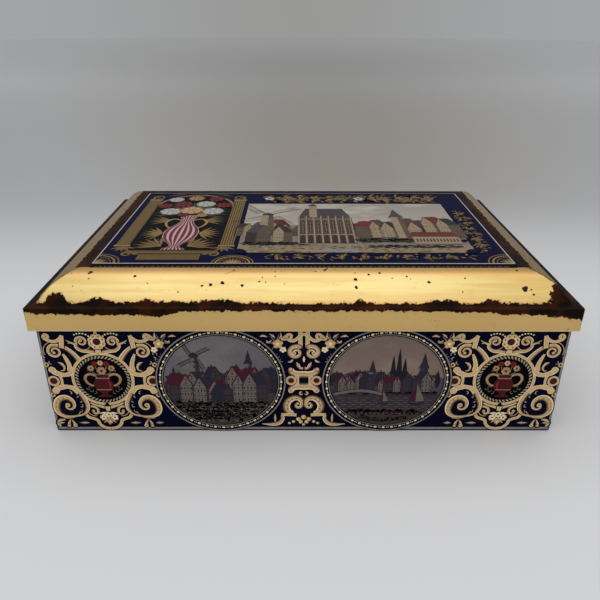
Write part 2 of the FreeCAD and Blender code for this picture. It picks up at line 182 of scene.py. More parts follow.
class Finish(Nodes):            # a material and its shader. Its patterns read millimetres

    def __init__(self, name, roughness=0.5, metallic=0.0, shine=0.5):
        self.material = bpy.data.materials.new(name)
        self.material.use_nodes = True
        super().__init__(self.material.node_tree)
        self.shader = self.tree.nodes["Principled BSDF"]
        for name, value in (("Roughness", roughness), ("Metallic", metallic), ("Specular IOR Level", shine)):
            self.set(name, value)
        scale = self.tree.nodes.new("ShaderNodeVectorMath")
        scale.operation = "SCALE"
        self.feed(scale.inputs[0], self.node("ShaderNodeTexCoord").outputs["Object"])
        self.feed(scale.inputs["Scale"], 1 / mm)
        self.place = scale.outputs[0]
        self.x, self.y, self.z = self.node("ShaderNodeSeparateXYZ", Vector=self.place).outputs

    def set(self, name, value):
        self.feed(self.shader.inputs[name], value)

    def noise(self, grain, detail=3.0, stretch=(1, 1, 1), roughness=0.55):
        mapping = self.node("ShaderNodeMapping", Vector=self.place, Scale=stretch)
        made = self.node("ShaderNodeTexNoise", Vector=mapping.outputs[0], Scale=1 / grain,
                         Detail=detail, Roughness=roughness)
        return made.outputs["Fac"]

    def profile(self, value, points):   # a curve drawn through the given points from 0 to 1
        made = self.node("ShaderNodeFloatCurve", Value=value)
        curve = made.mapping.curves[0]
        while len(curve.points) < len(points):
            curve.points.new(0.5, 0.5)
        for point, place in zip(curve.points, points):
            point.location = place
        made.mapping.update()
        return made.outputs[0]

    def across(self):                   # 0 on one side of a printed stroke, 1 on the other
        ribbon = self.tree.nodes.new("ShaderNodeUVMap")
        ribbon.uv_map = "UVMap"
        return self.node("ShaderNodeSeparateXYZ", Vector=ribbon.outputs[0]).outputs[1]

    def bump(self, height, distance):
        made = self.node("ShaderNodeBump", Height=height, Distance=distance)
        self.set("Normal", made.outputs["Normal"])

    def printed(self, colour):          # ends the finish of a print: its colour, and the grain of tinplate
        self.set("Base Color", colour)
        self.bump(self.noise(1.2, 2), 0.004 * mm)
        return self.material


# Camera, where the photographer stood

photoView = {
    "place": (-0.0033, -0.4201, 0.2463),
    "tiltDown": math.radians(25.94),
    "turn": math.radians(-0.15),
    "roll": math.radians(0.11),
    "focalPixels": 587.6,
    "framePixels": 600,
    "sensor": 36,
    "nearest": 0.01,
}


def placeCamera():
    lens = bpy.data.cameras.new("camera")
    lens.sensor_width = photoView["sensor"]
    lens.lens = photoView["focalPixels"] / photoView["framePixels"] * photoView["sensor"]
    lens.clip_start = photoView["nearest"]
    camera = bpy.data.objects.new("camera", lens)
    bpy.context.scene.collection.objects.link(camera)
    turn = Matrix.Rotation(photoView["turn"], 4, "Z")
    tilt = Matrix.Rotation(math.pi / 2 - photoView["tiltDown"], 4, "X")
    roll = Matrix.Rotation(photoView["roll"], 4, "Z")
    camera.matrix_world = Matrix.Translation(photoView["place"]) @ turn @ tilt @ roll
    bpy.context.scene.camera = camera


placeCamera()
print("stage: camera placed")


# Lights: one broad soft panel overhead in a grey room

lights = {
    "panelSize": (2.2, 2.15),
    "panelPlace": (0.0, -0.5, 1.15),
    "panelPower": 17.6,
    "roomLevel": 0.41,
    "backdropSide": linear(163, 164, 166),
    "backdropShadedMiddle": linear(152, 152, 151),
    "middleReach": 0.42,        # how far to each side the painted shade of the middle goes
}


def placeLights():
    lamp = bpy.data.lights.new("overhead_panel", "AREA")
    lamp.shape = "RECTANGLE"
    lamp.size, lamp.size_y = lights["panelSize"]
    lamp.energy = lights["panelPower"]
    panel = bpy.data.objects.new("overhead_panel", lamp)
    panel.location = lights["panelPlace"]
    bpy.context.scene.collection.objects.link(panel)


def makeRoom():                 # grey light all round, and a backdrop, painted darker in its middle as painted shade, where a ray sees the room
    world = bpy.data.worlds.new("grey_room")
    world.use_nodes = True
    look = Nodes(world.node_tree)
    room = look.tree.nodes["Background"]
    look.feed(room.inputs["Color"], (1, 1, 1, 1))
    look.feed(room.inputs["Strength"], lights["roomLevel"])
    outward = look.node("ShaderNodeTexCoord").outputs["Generated"]
    direction = look.node("ShaderNodeSeparateXYZ", Vector=outward)
    # painted shade: the backdrop is darker towards its middle
    aside = look.rise(look.size(direction.outputs["X"]), 0.0, lights["middleReach"])
    backdrop = look.node("ShaderNodeBackground",
                         Color=look.mix(aside, lights["backdropShadedMiddle"], lights["backdropSide"]))
    rays = look.node("ShaderNodeLightPath").outputs
    seen = look.most(rays["Is Camera Ray"], rays["Is Glossy Ray"], rays["Is Transmission Ray"])
    choice = look.node("ShaderNodeMixShader")
    for socket, value in zip(choice.inputs, (seen, room.outputs[0], backdrop.outputs[0])):
        look.feed(socket, value)
    look.feed(look.tree.nodes["World Output"].inputs["Surface"], choice.outputs[0])
    bpy.context.scene.world = world
    bpy.context.scene.view_settings.view_transform = "Standard"


placeLights()
makeRoom()
print("stage: lights placed")


# Floor: a wide level sheet of paper, painted darker into the distance as painted shade and paler again
# towards the backdrop as painted light

floorSheet = {
    "radius": 7.0,              # metres, and all distances below are millimetres
    "sides": 64,
    "paintedShade": (60.0, 450.0),   # painted shade: from and to, behind the tin's middle, as the other pairs
    "nearColour": linear(208, 209, 211),
    "farColour": linear(176, 177, 179),
    "paintedLight": (300.0, 2300.0),   # painted light: the paper grows pale again towards the backdrop
    "backColour": linear(240, 241, 243),
    "dusk": (180.0, 560.0),     # painted shadow: a dimmer lane that runs back from the tin, warm at first
    "duskMiddle": 60.0,         # to the right of the tin's middle
    "duskHalfWidth": 200.0,
    "duskSpread": 0.56,         # and wider by this share of the way back
    "duskWarm": (0.75, 0.68, 0.575, 1.0),
    "duskCool": (0.68, 0.67, 0.65, 1.0),
    "duskFades": (2200.0, 6000.0),
    "duskFade": 0.5,            # the share that is gone at the far end
}


def makeFloor():
    bpy.ops.mesh.primitive_circle_add(vertices=floorSheet["sides"], radius=floorSheet["radius"],
                                      fill_type="NGON")
    floor = bpy.context.object
    floor.name = "floor_paper"
    look = Finish("floor_paper", roughness=0.75, shine=0.2)
    # painted shade darkens the paper away from the tin, then painted light pales it again
    away = look.rise(look.y, *floorSheet["paintedShade"])
    paper = look.mix(away, floorSheet["nearColour"], floorSheet["farColour"])
    further = look.rise(look.y, *floorSheet["paintedLight"])
    paper = look.mix(further, paper, floorSheet["backColour"])
    # painted shadow: a dimmer, warm-tinted lane on the floor behind the tin
    halfWidth = look.add(floorSheet["duskHalfWidth"], look.times(look.y, floorSheet["duskSpread"]))
    aside = look.size(look.take(look.x, floorSheet["duskMiddle"]))
    lane = look.rise(look.math("DIVIDE", aside, halfWidth), 1.0, 0.0)
    lane = look.times(lane, look.rise(look.y, *floorSheet["dusk"]))
    faded = look.times(look.rise(look.y, *floorSheet["duskFades"]), floorSheet["duskFade"])
    tint = look.mix(further, floorSheet["duskWarm"], floorSheet["duskCool"])
    look.set("Base Color", look.mix(look.times(lane, look.take(1.0, faded)), paper, tint, "MULTIPLY"))
    floor.data.materials.append(look.material)


makeFloor()
print("stage: floor laid")


# Finishes

gold = {
    "lacquer": linear(224, 189, 122),
    "deepLacquer": linear(214, 176, 110),
    "crown": linear(208, 179, 117),         # paler on the crown: a painted highlight
    "crownHighlightStreak": linear(216, 197, 136),
    "crownFrom": (1.0, 5.0),                # height above the ledge over which the crown's tone sets in
    "brow": linear(254, 206, 137),          # warmer again beside the panel
    "browFrom": (11.5, 14.5),
    "ends": (0.8, 0.755, 0.66, 1.0),        # painted shade: deeper towards both ends
    "endsMiddle": 12.0,                     # millimetres left of the lid's middle
    "endsFrom": (55.0, 160.0),
    "sides": (0.6, 0.56, 0.36, 1.0),        # painted shade: deepest on the left and the right
    "smudge": linear(176, 138, 78),
    # a painted highlight along the hem
    "hem": linear(242, 220, 172),
    "bareIron": linear(27, 17, 12),
    "rust": linear(56, 26, 13),
    "scuff": linear(92, 66, 38),
}
goldWear = {
    "reach": 8.0,               # the next two are drawn in shares of this many millimetres
    # where the gilding starts above the ledge, from the left end to the right
    "foot": [(0.0, 0.34), (0.03, 0.3), (0.037, 0.34), (0.043, 0.86), (0.066, 0.84), (0.073, 0.36),
             (0.1, 0.3), (0.125, 0.62), (0.14, 0.5), (0.16, 0.34), (0.19, 0.3), (0.215, 0.5),
             (0.235, 0.36), (0.275, 0.36), (0.31, 0.32), (0.325, 0.46), (0.375, 0.36), (0.4, 0.28),
             (0.5, 0.24), (0.585, 0.28), (0.6, 0.5), (0.615, 0.26), (0.7, 0.24), (0.745, 0.46),
             (0.77, 0.44), (0.79, 0.26), (0.82, 0.3), (0.835, 0.5), (0.85, 0.36), (0.9, 0.26),
             (0.95, 0.36), (1.0, 0.6)],
    # how far down the skirt is worn below the ledge
    "skirt": [(0.0, 0.3), (0.05, 0.34), (0.1, 0.5), (0.17, 0.42), (0.24, 0.5), (0.28, 0.18), (0.34, 0.1),
              (0.5, 0.1), (0.7, 0.12), (0.8, 0.24), (0.9, 0.42), (0.96, 0.62), (1.0, 0.95)],
    # soft edges in millimetres: no wear at the first number, bare iron at the second
    "corner": (21.5, 21.0),     # reach of the bare front right corner
    "hip": (0.9, 0.5),          # off the fold
    "hipTop": (15.0, 14.6),
    "sideOuter": (24.4, 24.8),  # the bare strip beside the panel, in from the lid's side
    "sideInner": (33.7, 33.5),
    "sideFront": (-85.9, -85.7),
    "backStrip": (79.6, 79.8),
    "backEnds": (26.0, 26.4),
    "stripFoot": (13.6, 14.0),
}


def gildedLacquer():            # transparent gold lacquer on tinplate, worn to dark iron on the folds, with painted highlight and painted shade
    look = Finish("gilded_lacquer", roughness=0.3, metallic=1.0, shine=0.06)
    height = look.take(look.z, ledgeHeight)
    fromX = look.take(lidHalfX, look.size(look.x))
    fromY = look.take(lidHalfY, look.size(look.y))
    onLongSide = look.math("LESS_THAN", fromY, fromX)
    onShortSide = look.take(1.0, onLongSide)
    alongX = look.math("DIVIDE", look.x, 2 * lidHalfX)
    alongY = look.math("DIVIDE", look.y, 2 * lidHalfY)
    along = look.add(0.5, look.times(onLongSide, alongX), look.times(onShortSide, alongY))
    coarse = look.take(look.noise(9, 4), 0.5)
    fine = look.take(look.noise(2.8, 4, roughness=0.7), 0.5)
    ragged = look.add(look.times(coarse, 2.4), look.times(fine, 6.0), 0.5)
    raggedHeight = look.add(height, ragged)

    # the foot of the crown, the ledge and the top of the skirt
    footTop = look.add(look.times(look.profile(along, goldWear["foot"]), goldWear["reach"]), -0.7)
    aboveFoot = look.take(raggedHeight, footTop)
    foot = look.most(look.rise(aboveFoot, 0.12, -0.12), look.rise(height, 0.6, 0.3))
    skirtDepth = look.times(look.profile(along, goldWear["skirt"]), -goldWear["reach"])
    worn = look.least(foot, look.rise(look.take(raggedHeight, skirtDepth), -0.15, 0.15))

    # the front right corner and the hips
    cornerReach = look.reach(look.take(lidHalfX, look.x), look.add(look.y, lidHalfY))
    cornerReach = look.add(cornerReach, look.times(ragged, 1.6))
    corner = look.least(look.rise(cornerReach, *goldWear["corner"]), look.rise(height, -0.3, 0.0))
    fromHip = look.add(look.size(look.take(fromX, fromY)), look.times(ragged, 0.8))
    hip = look.least(look.rise(fromHip, *goldWear["hip"]), look.rise(height, *goldWear["hipTop"]),
                     look.rise(look.noise(18, 2), 0.5, 0.56))

    # the edge of the crown beside the printed panel and behind it, and specks all over
    sideStrip = look.least(look.rise(look.add(fromX, ragged), *goldWear["sideOuter"]),
                           look.rise(fromX, *goldWear["sideInner"]),
                           look.rise(look.y, *goldWear["sideFront"]))
    backStrip = look.least(look.rise(look.y, *goldWear["backStrip"]), look.rise(fromX, *goldWear["backEnds"]))
    strips = look.least(look.most(sideStrip, backStrip), look.rise(height, *goldWear["stripFoot"]))
    specks = look.least(look.rise(look.noise(1.7, 1, roughness=0.4), 0.765, 0.78),
                        look.rise(look.noise(22, 2), 0.46, 0.56))
    worn = look.most(worn, corner, hip, strips, specks)

    # painted highlight: the crown is painted paler, with paler streaks; the same streaks also vary its
    # roughness and bumps
    onCrown = look.rise(height, *gold["crownFrom"])
    tone = look.mix(look.noise(60, 2), gold["lacquer"], gold["deepLacquer"])
    streaks = look.add(look.times(onLongSide, look.noise(5, 3, stretch=(0.06, 1, 1))),
                       look.times(onShortSide, look.noise(5, 3, stretch=(1, 0.06, 1))))
    crownHighlight = look.mix(look.rise(streaks, 0.36, 0.62), gold["crown"], gold["crownHighlightStreak"])
    crownHighlight = look.mix(look.rise(height, *gold["browFrom"]), crownHighlight, gold["brow"])
    tone = look.mix(onCrown, tone, crownHighlight)
    # painted shade: the crown darkens towards both ends, and most on the left and right sides
    towardsEnds = look.rise(look.size(look.add(look.x, gold["endsMiddle"])), *gold["endsFrom"])
    tone = look.mix(look.least(towardsEnds, onCrown), tone, gold["ends"], "MULTIPLY")
    tone = look.mix(look.times(onShortSide, onCrown), tone, gold["sides"], "MULTIPLY")
    rubbed = look.times(look.rise(look.noise(5, 5, roughness=0.7), 0.58, 0.74), 0.3)
    tone = look.mix(rubbed, tone, gold["smudge"])
    # painted highlight: the skirt's foot is painted paler along the hem
    tone = look.mix(look.times(look.rise(height, -14.0, -14.7), 0.6), tone, gold["hem"])
    nearFoot = look.times(look.rise(aboveFoot, 0.7, 0.1), 0.5)
    tone = look.mix(look.times(nearFoot, look.rise(height, -0.5, 0.2)), tone, gold["scuff"])
    dark = look.mix(look.rise(look.noise(14, 3), 0.42, 0.62), gold["bareIron"], gold["rust"])
    look.set("Base Color", look.mix(worn, tone, dark))
    look.set("Metallic", look.take(1.0, look.times(worn, 0.4)))
    brushed = look.noise(2.5, 3, stretch=(1, 0.1, 0.1))
    polish = look.add(0.2, look.times(streaks, 0.12), look.times(brushed, 0.1))
    look.set("Roughness", look.add(polish, look.times(worn, 0.3)))
    relief = look.add(look.times(streaks, 0.5), look.times(worn, -0.5), look.times(fine, 0.12))
    look.bump(relief, 0.025 * mm)
    return look.material


insideShades = (linear(206, 184, 136), linear(184, 158, 108))


def insideColour(look):
    return look.mix(look.noise(40, 4), *insideShades)


def insideLacquer():            # pale yellow lacquer inside the tin
    look = Finish("inside_lacquer", roughness=0.34, metallic=0.85)
    look.set("Base Color", insideColour(look))
    look.set("Roughness", look.add(0.28, look.times(look.noise(6, 4), 0.16)))
    look.bump(look.noise(1.1, 2), 0.004 * mm)
    return look.material


wallSheet = {
    "cornerRadius": 1.5,        # millimetres, as are the next two
    "sheet": 0.3,
    "rimDepth": 2.1,            # the rolled rim with its foot
    "ground": linear(5, 7, 38),
    "groundDeep": linear(3, 4, 22),
    "tin": linear(150, 138, 112),
    "tinDark": linear(96, 84, 66),
}


def wallPrint():                # dark blue outside, lacquer inside and bare tin on the rolled rim
    look = Finish("wall_print", roughness=0.4, shine=0.03)
    radius = wallSheet["cornerRadius"]
    pastX = look.take(look.size(look.x), wallHalfX - radius)
    pastY = look.take(look.size(look.y), wallHalfY - radius)
    flat = look.least(look.most(pastX, pastY), 0.0)
    distance = look.add(look.reach(look.most(pastX, 0.0), look.most(pastY, 0.0)), flat, -radius)
    outside = look.rise(distance, -0.65 * wallSheet["sheet"], -0.4 * wallSheet["sheet"])
    rimFoot = wallHigh.z / mm - wallSheet["rimDepth"]
    rim = look.rise(look.z, rimFoot - 0.1, rimFoot + 0.1)
    blue = look.mix(look.noise(8, 3), wallSheet["ground"], wallSheet["groundDeep"])
    tin = look.mix(look.noise(5, 3), wallSheet["tin"], wallSheet["tinDark"])
    look.set("Base Color", look.mix(rim, look.mix(outside, insideColour(look), blue), tin))
    look.set("Metallic", look.most(look.take(0.85, outside), look.times(rim, 0.9)))
    look.bump(look.noise(1.4, 2), 0.004 * mm)
    return look.material


def tinnedSteel(name, light, dark, roughness):
    look = Finish(name, roughness=roughness, metallic=1.0)
    spots = look.rise(look.noise(3.8, 5, roughness=0.7), 0.56, 0.66)
    sheen = look.mix(look.noise(16, 3), light, dark)
    look.set("Base Color", look.mix(spots, sheen, gold["rust"]))
    look.set("Metallic", look.take(1.0, look.times(spots, 0.9)))
    look.set("Roughness", look.add(roughness, look.times(spots, 0.3)))
    look.bump(look.noise(1.2, 3), 0.01 * mm)
    return look.material


def ink(name, light, dark, grain=4.0, shine=0.12):      # print that varies, as rubbed tinplate does
    look = Finish("ink_" + name, roughness=0.45, shine=shine)
    shade = linear(*dark)
    body = look.mix(look.noise(grain, 4, roughness=0.65), linear(*light), shade)
    rubs = look.rise(look.noise(0.9, 2), 0.66, 0.74)
    return look.printed(look.mix(look.times(rubs, 0.35), body, shade))


goldInk = {                     # light and dark shade of the flat gold, and the tones that lie on it
    "strap": (linear(222, 189, 142), linear(196, 162, 116)),
    "strapEdge": linear(246, 220, 172),
    "strapRub": linear(150, 112, 70),
    "scroll": (linear(222, 190, 144), linear(196, 163, 118)),
    "scrollShadow": linear(92, 66, 48),
    "scrollGroove": linear(120, 88, 60),
    "scrollEdge": linear(250, 228, 186),
}


def strapInk():                 # flat gold straps with a thin pale edge
    look = Finish("strap_gold", roughness=0.42, shine=0.2)
    across = look.across()
    fromEdge = look.least(across, look.take(1.0, across))
    body = look.mix(look.noise(6, 4), *goldInk["strap"])
    edged = look.mix(look.rise(fromEdge, 0.16, 0.04), body, goldInk["strapEdge"])
    rubs = look.rise(look.noise(0.8, 3), 0.62, 0.72)
    return look.printed(look.mix(look.times(rubs, 0.4), edged, goldInk["strapRub"]))


def scrollInk(name, shadedSide):        # scrolls that darken to brown towards one side
    look = Finish(name, roughness=0.42, shine=0.2)
    across = look.across() if shadedSide == 0 else look.take(1.0, look.across())
    body = look.mix(look.noise(5, 4), *goldInk["scroll"])
    shaded = look.mix(look.rise(across, 0.46, 0.08), body, goldInk["scrollShadow"])
    groove = look.rise(look.size(look.take(across, 0.64)), 0.09, 0.03)
    shaded = look.mix(look.times(groove, 0.55), shaded, goldInk["scrollGroove"])
    return look.printed(look.mix(look.rise(across, 0.8, 0.94), shaded, goldInk["scrollEdge"]))


def skyInk(name, low, high, cloud, foot, rise, flat=False):     # a painted sky with soft clouds
    look = Finish("ink_" + name, roughness=0.5, shine=0.1)
    low, high, cloud = linear(*low), linear(*high), linear(*cloud)
    air = look.mix(look.rise(look.y if flat else look.z, foot, foot + rise), low, high)
    drift = look.noise(24, 4, stretch=(0.55, 1, 1))
    cloudy = look.mix(look.times(look.rise(drift, 0.46, 0.64), 0.7), air, cloud)
    grain = look.times(look.rise(look.noise(1.5, 3), 0.45, 0.7), 0.25)
    return look.printed(look.mix(grain, cloudy, low))


inkShades = {                   # light and dark shade, then grain in millimetres and shine if not usual
    # borders and ornament
    "edge": ((6, 5, 12), (3, 3, 7), 4, 0.02),
    "cream": ((250, 236, 202), (228, 204, 158)),
    "buff": ((224, 188, 136), (182, 146, 100)),
    "brown": ((128, 92, 58), (98, 68, 44)),
    "grey": ((150, 143, 146), (112, 106, 110)),
    "paleGrey": ((182, 172, 150), (146, 136, 118)),
    "garnet": ((88, 18, 26), (50, 8, 18)),
    # medallions and bouquets
    "coal": ((8, 6, 9), (4, 3, 5), 4, 0.02),
    "crimson": ((86, 10, 23), (58, 5, 16)),
    "crimsonLight": ((150, 40, 46), (120, 24, 34)),
    "petal": ((190, 158, 114), (138, 108, 76)),
    "rose": ((128, 28, 36), (94, 16, 26)),
    "sprig": ((128, 124, 110), (84, 84, 78)),
    # dusk pictures on the walls
    "duskFar": ((78, 74, 92), (64, 60, 80), 9),
    "duskMeadow": ((70, 66, 60), (48, 44, 46), 5),
    "duskWater": ((66, 58, 62), (42, 37, 42), 3),
    "duskWall": ((124, 112, 104), (84, 75, 76), 3),
    "duskShade": ((66, 56, 60), (40, 34, 40), 3),
    "duskRoof": ((82, 24, 40), (52, 17, 34), 5),
    "duskSlate": ((46, 44, 58), (28, 27, 38), 4),
    "duskTimber": ((48, 28, 40), (30, 18, 32), 3),
    "duskTree": ((32, 29, 38), (17, 15, 23), 4),
    "duskLeaf": ((76, 72, 64), (46, 44, 46), 2),
    "duskPetal": ((132, 124, 108), (92, 86, 80), 2),
    "duskGround": ((78, 60, 56), (50, 40, 44), 4),
    # pictures on the lid
    "panelGround": ((10, 14, 50), (6, 9, 34), 12, 0.02),
    "farHill": ((120, 114, 108), (102, 96, 92), 9),
    "sepia": ((94, 78, 62), (62, 50, 40), 5),
    "sepiaDark": ((48, 38, 33), (32, 26, 25), 4),
    "stone": ((150, 132, 106), (118, 102, 82), 5),
    "brick": ((112, 40, 40), (80, 28, 32), 4),
    "slate": ((70, 67, 70), (46, 44, 50), 4),
    "tree": ((52, 56, 44), (32, 38, 32), 4),
    "treeLight": ((92, 90, 64), (66, 66, 48), 4),
    "road": ((142, 125, 98), (108, 94, 74), 6),
    "water": ((122, 124, 124), (94, 98, 104), 7),
    "white": ((172, 169, 168), (142, 139, 142)),
    "ochre": ((126, 100, 54), (78, 60, 32), 2),
    "ochreDark": ((70, 54, 32), (46, 36, 24)),
    "ochreLight": ((164, 134, 80), (114, 90, 52), 2),
    "bottle": ((14, 18, 22), (8, 11, 15), 9, 0.02),
    "roseDeep": ((112, 28, 34), (82, 18, 26)),
    # wear
    "worn": ((44, 26, 20), (24, 14, 12), 2),
}
inks = {name: ink(name, *shades) for name, shades in inkShades.items()}
inks["strap"] = strapInk()
inks["curl"] = scrollInk("scroll_gold", 0)
inks["curlBack"] = scrollInk("scroll_gold_back", 1)
inks["duskSky"] = skyInk("duskSky", (92, 87, 92), (108, 103, 107), (121, 117, 117), 30, 40)
inks["duskGlow"] = skyInk("duskGlow", (132, 112, 98), (118, 102, 96), (142, 124, 112), 30, 40)
inks["panelSky"] = skyInk("panelSky", (156, 147, 135), (140, 134, 127), (176, 168, 156), -10, 55, flat=True)

strapTin = tinnedSteel("strap_tin", linear(190, 168, 120), linear(150, 128, 88), 0.34)
gildedFinish, insideFinish = gildedLacquer(), insideLacquer()
nodeFinishes = {
    "body_wall": wallPrint(),
    "base_plate": insideFinish,
    "hinge_strap_left": strapTin,
    "hinge_strap_right": strapTin,
    "strap_rivets": tinnedSteel("rivet_steel", linear(176, 170, 160), linear(128, 122, 112), 0.36),
    "hinge_wire": tinnedSteel("wire_steel", linear(168, 164, 158), linear(110, 104, 98), 0.32),
}
for nodeName, finish in nodeFinishes.items():
    materials = frame["nodes"][nodeName].data.materials
    materials.clear()
    materials.append(finish)
print("stage: CAD nodes dressed")


# Lid, drawn from one sheet

lidSheet = {
    "printRoom": 0.6 * mm,      # left free above the panel for the inks
    "panelInset": 30 * mm,
    "crownRadius": 28 * mm,
    "crownSteps": 16,
    "fold": 0.5 * mm,           # radius between ledge and skirt
    "hemInset": 0.62 * mm,
    "hemHeight": 4 * mm,
    "cornerRadius": 1.2 * mm,
    "cornerSteps": 4,
    "sheet": 0.3 * mm,
    "rollReach": 150 * mm,      # the rear edge is rolled this far to each side
    "rollTurn": math.radians(290),
    "rollSteps": 14,
    "notchPlace": 95 * mm,      # the notches for the straps
    "notchHalf": 12.4 * mm,
    "notchTop": 79.3 * mm,
    "smoothUnder": math.radians(28),
}
panelTop = lidHigh.z - lidSheet["printRoom"]
crownCentre = panelTop - lidSheet["crownRadius"]
crownFoot = math.acos((ledgeHeight * mm - crownCentre) / lidSheet["crownRadius"])


def lidSteps():                 # inset and height of each loop, from the panel down the skirt and up the hem
    ledge = ledgeHeight * mm
    radius, inset = lidSheet["crownRadius"], lidSheet["panelInset"]
    steps = [(inset, panelTop)]
    for step in range(1, lidSheet["crownSteps"] + 1):
        turn = crownFoot * step / lidSheet["crownSteps"]
        steps.append((inset - radius * math.sin(turn), crownCentre + radius * math.cos(turn)))
    fold, hem = lidSheet["fold"], lidSheet["hemInset"]
    for turn in (0, 30, 60, 90):
        around = math.radians(turn)
        steps.append((fold * (1 - math.sin(around)), ledge - fold * (1 - math.cos(around))))
    half = hem / 2
    for turn in (0, 45, 90, 135, 180):
        around = math.radians(turn)
        steps.append((half * (1 - math.cos(around)), lidLow.z + half * (1 - math.sin(around))))
    steps.append((hem, lidLow.z + lidSheet["hemHeight"]))
    return steps


def makeLid():
    bpy.ops.mesh.primitive_plane_add(size=2)
    lid = bpy.context.object
    lid.name = "lid_drawn_sheet"
    steps = lidSteps()
    halfX, halfY = lidHigh.x, lidHigh.y
    startEditing(lid)
    inset, height = steps[0]
    bpy.ops.transform.resize(value=(halfX - inset, halfY - inset, 1))
    bpy.ops.transform.translate(value=(0, 0, height))
    for (inset, height), (nextInset, nextHeight) in zip(steps, steps[1:]):
        bpy.ops.mesh.extrude_edges_indiv()
        shrink = ((halfX - nextInset) / (halfX - inset), (halfY - nextInset) / (halfY - inset), 1)
        bpy.ops.transform.resize(value=shrink, center_override=(0, 0, height))
        bpy.ops.transform.translate(value=(0, 0, nextHeight - height))
    bpy.ops.mesh.select_all(action="SELECT")
    bpy.ops.mesh.normals_make_consistent(inside=False)
    pick(lid, "EDGE", lambda edge: edge.calc_length() < lidSheet["panelInset"])
    bpy.ops.mesh.bevel(offset=lidSheet["cornerRadius"], segments=lidSheet["cornerSteps"], affect="EDGES")

    # rear skirt: cut out for the straps and rolled round the hinge wire
    reach, middle, half = lidSheet["rollReach"], lidSheet["notchPlace"], lidSheet["notchHalf"]
    nearRear = halfY - 2 * lidSheet["hemInset"]
    cuts = [reach, middle - half, middle + half]
    planes = [((side * cut, 0, 0), (1, 0, 0)) for cut in cuts for side in (-1, 1)]
    planes += [((0, 0, hingePoint.z), (0, 0, 1)), ((0, 0, lidSheet["notchTop"]), (0, 0, 1))]
    for point, normal in planes:
        pick(lid, "FACE", lambda face: middleOf(face).y > nearRear)
        bpy.ops.mesh.bisect(plane_co=point, plane_no=normal)

    def cutAway(face):
        spot = middleOf(face)
        if spot.y < nearRear or abs(spot.x) > reach or spot.z > lidSheet["notchTop"] + mm:
            return False
        inNotch = abs(abs(spot.x) - middle) < half and spot.z < lidSheet["notchTop"]
        return spot.z < hingePoint.z or spot.y < halfY - 0.2 * mm or inNotch

    pick(lid, "FACE", cutAway)
    bpy.ops.mesh.delete(type="FACE")
    pick(lid, "EDGE", lambda edge: all(abs(vertex.co.z - hingePoint.z) < 0.01 * mm
                                       and vertex.co.y > halfY - 0.1 * mm for vertex in edge.verts)
         and abs(middleOf(edge).x) < reach)
    bpy.ops.mesh.spin(steps=lidSheet["rollSteps"], angle=lidSheet["rollTurn"], center=hingePoint,
                      axis=(1, 0, 0))
    bpy.ops.mesh.select_all(action="SELECT")
    bpy.ops.mesh.remove_doubles(threshold=0.002 * mm)
    bpy.ops.mesh.normals_make_consistent(inside=False)
    stopEditing()
    if max(lid.data.polygons, key=lambda face: face.area).normal.z < 0:
        startEditing(lid)
        bpy.ops.mesh.flip_normals()
        stopEditing()
    lid.data.materials.append(gildedFinish)
    lid.data.materials.append(insideFinish)
    applyModifier(lid, "SOLIDIFY", thickness=lidSheet["sheet"], offset=-1, use_even_offset=True,
                  material_offset=1)
    bpy.ops.object.shade_smooth_by_angle(angle=lidSheet["smoothUnder"])
    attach(lid, "lid")
    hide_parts("lid_shell")
    return lid


lid = makeLid()
print("lid: drawn sheet made,", len(lid.data.polygons), "faces")


# Printing: inks laid on one another, in millimetres across and up the side that carries them

printing = {
    "firstLayer": 0.02,         # above the sheet
    "stroke": 0.0006,           # from one stroke up to the next
    "layer": 0.006,             # from one group of strokes up to the next
    "outline": 0.65,            # black edge on each side of a strap
    "smooth": 5,                # steps from one point of a stroke to the next
}


def swirl(centre, start, turns, outer, inner, wide, thin, way=1):   # points that wind into a volute
    count = max(6, round(turns * 9))
    points = []
    for step in range(count + 1):
        share = step / count
        angle = math.radians(start + way * 360 * turns * share)
        radius = outer + (inner - outer) * share
        points.append((centre[0] + radius * math.cos(angle), centre[1] + radius * math.sin(angle),
                       wide + (thin - wide) * share))
    return points


def aroundOval(halfWide, halfHigh, count, start=0.0, end=360.0):    # places round an oval, end left out
    places = []
    for step in range(count):
        angle = math.radians(start + (end - start) * step / count)
        places.append((halfWide * math.cos(angle), halfHigh * math.sin(angle)))
    return places


def aroundCircle(radius, count, start=0.0, end=360.0):
    return aroundOval(radius, radius, count, start, end)


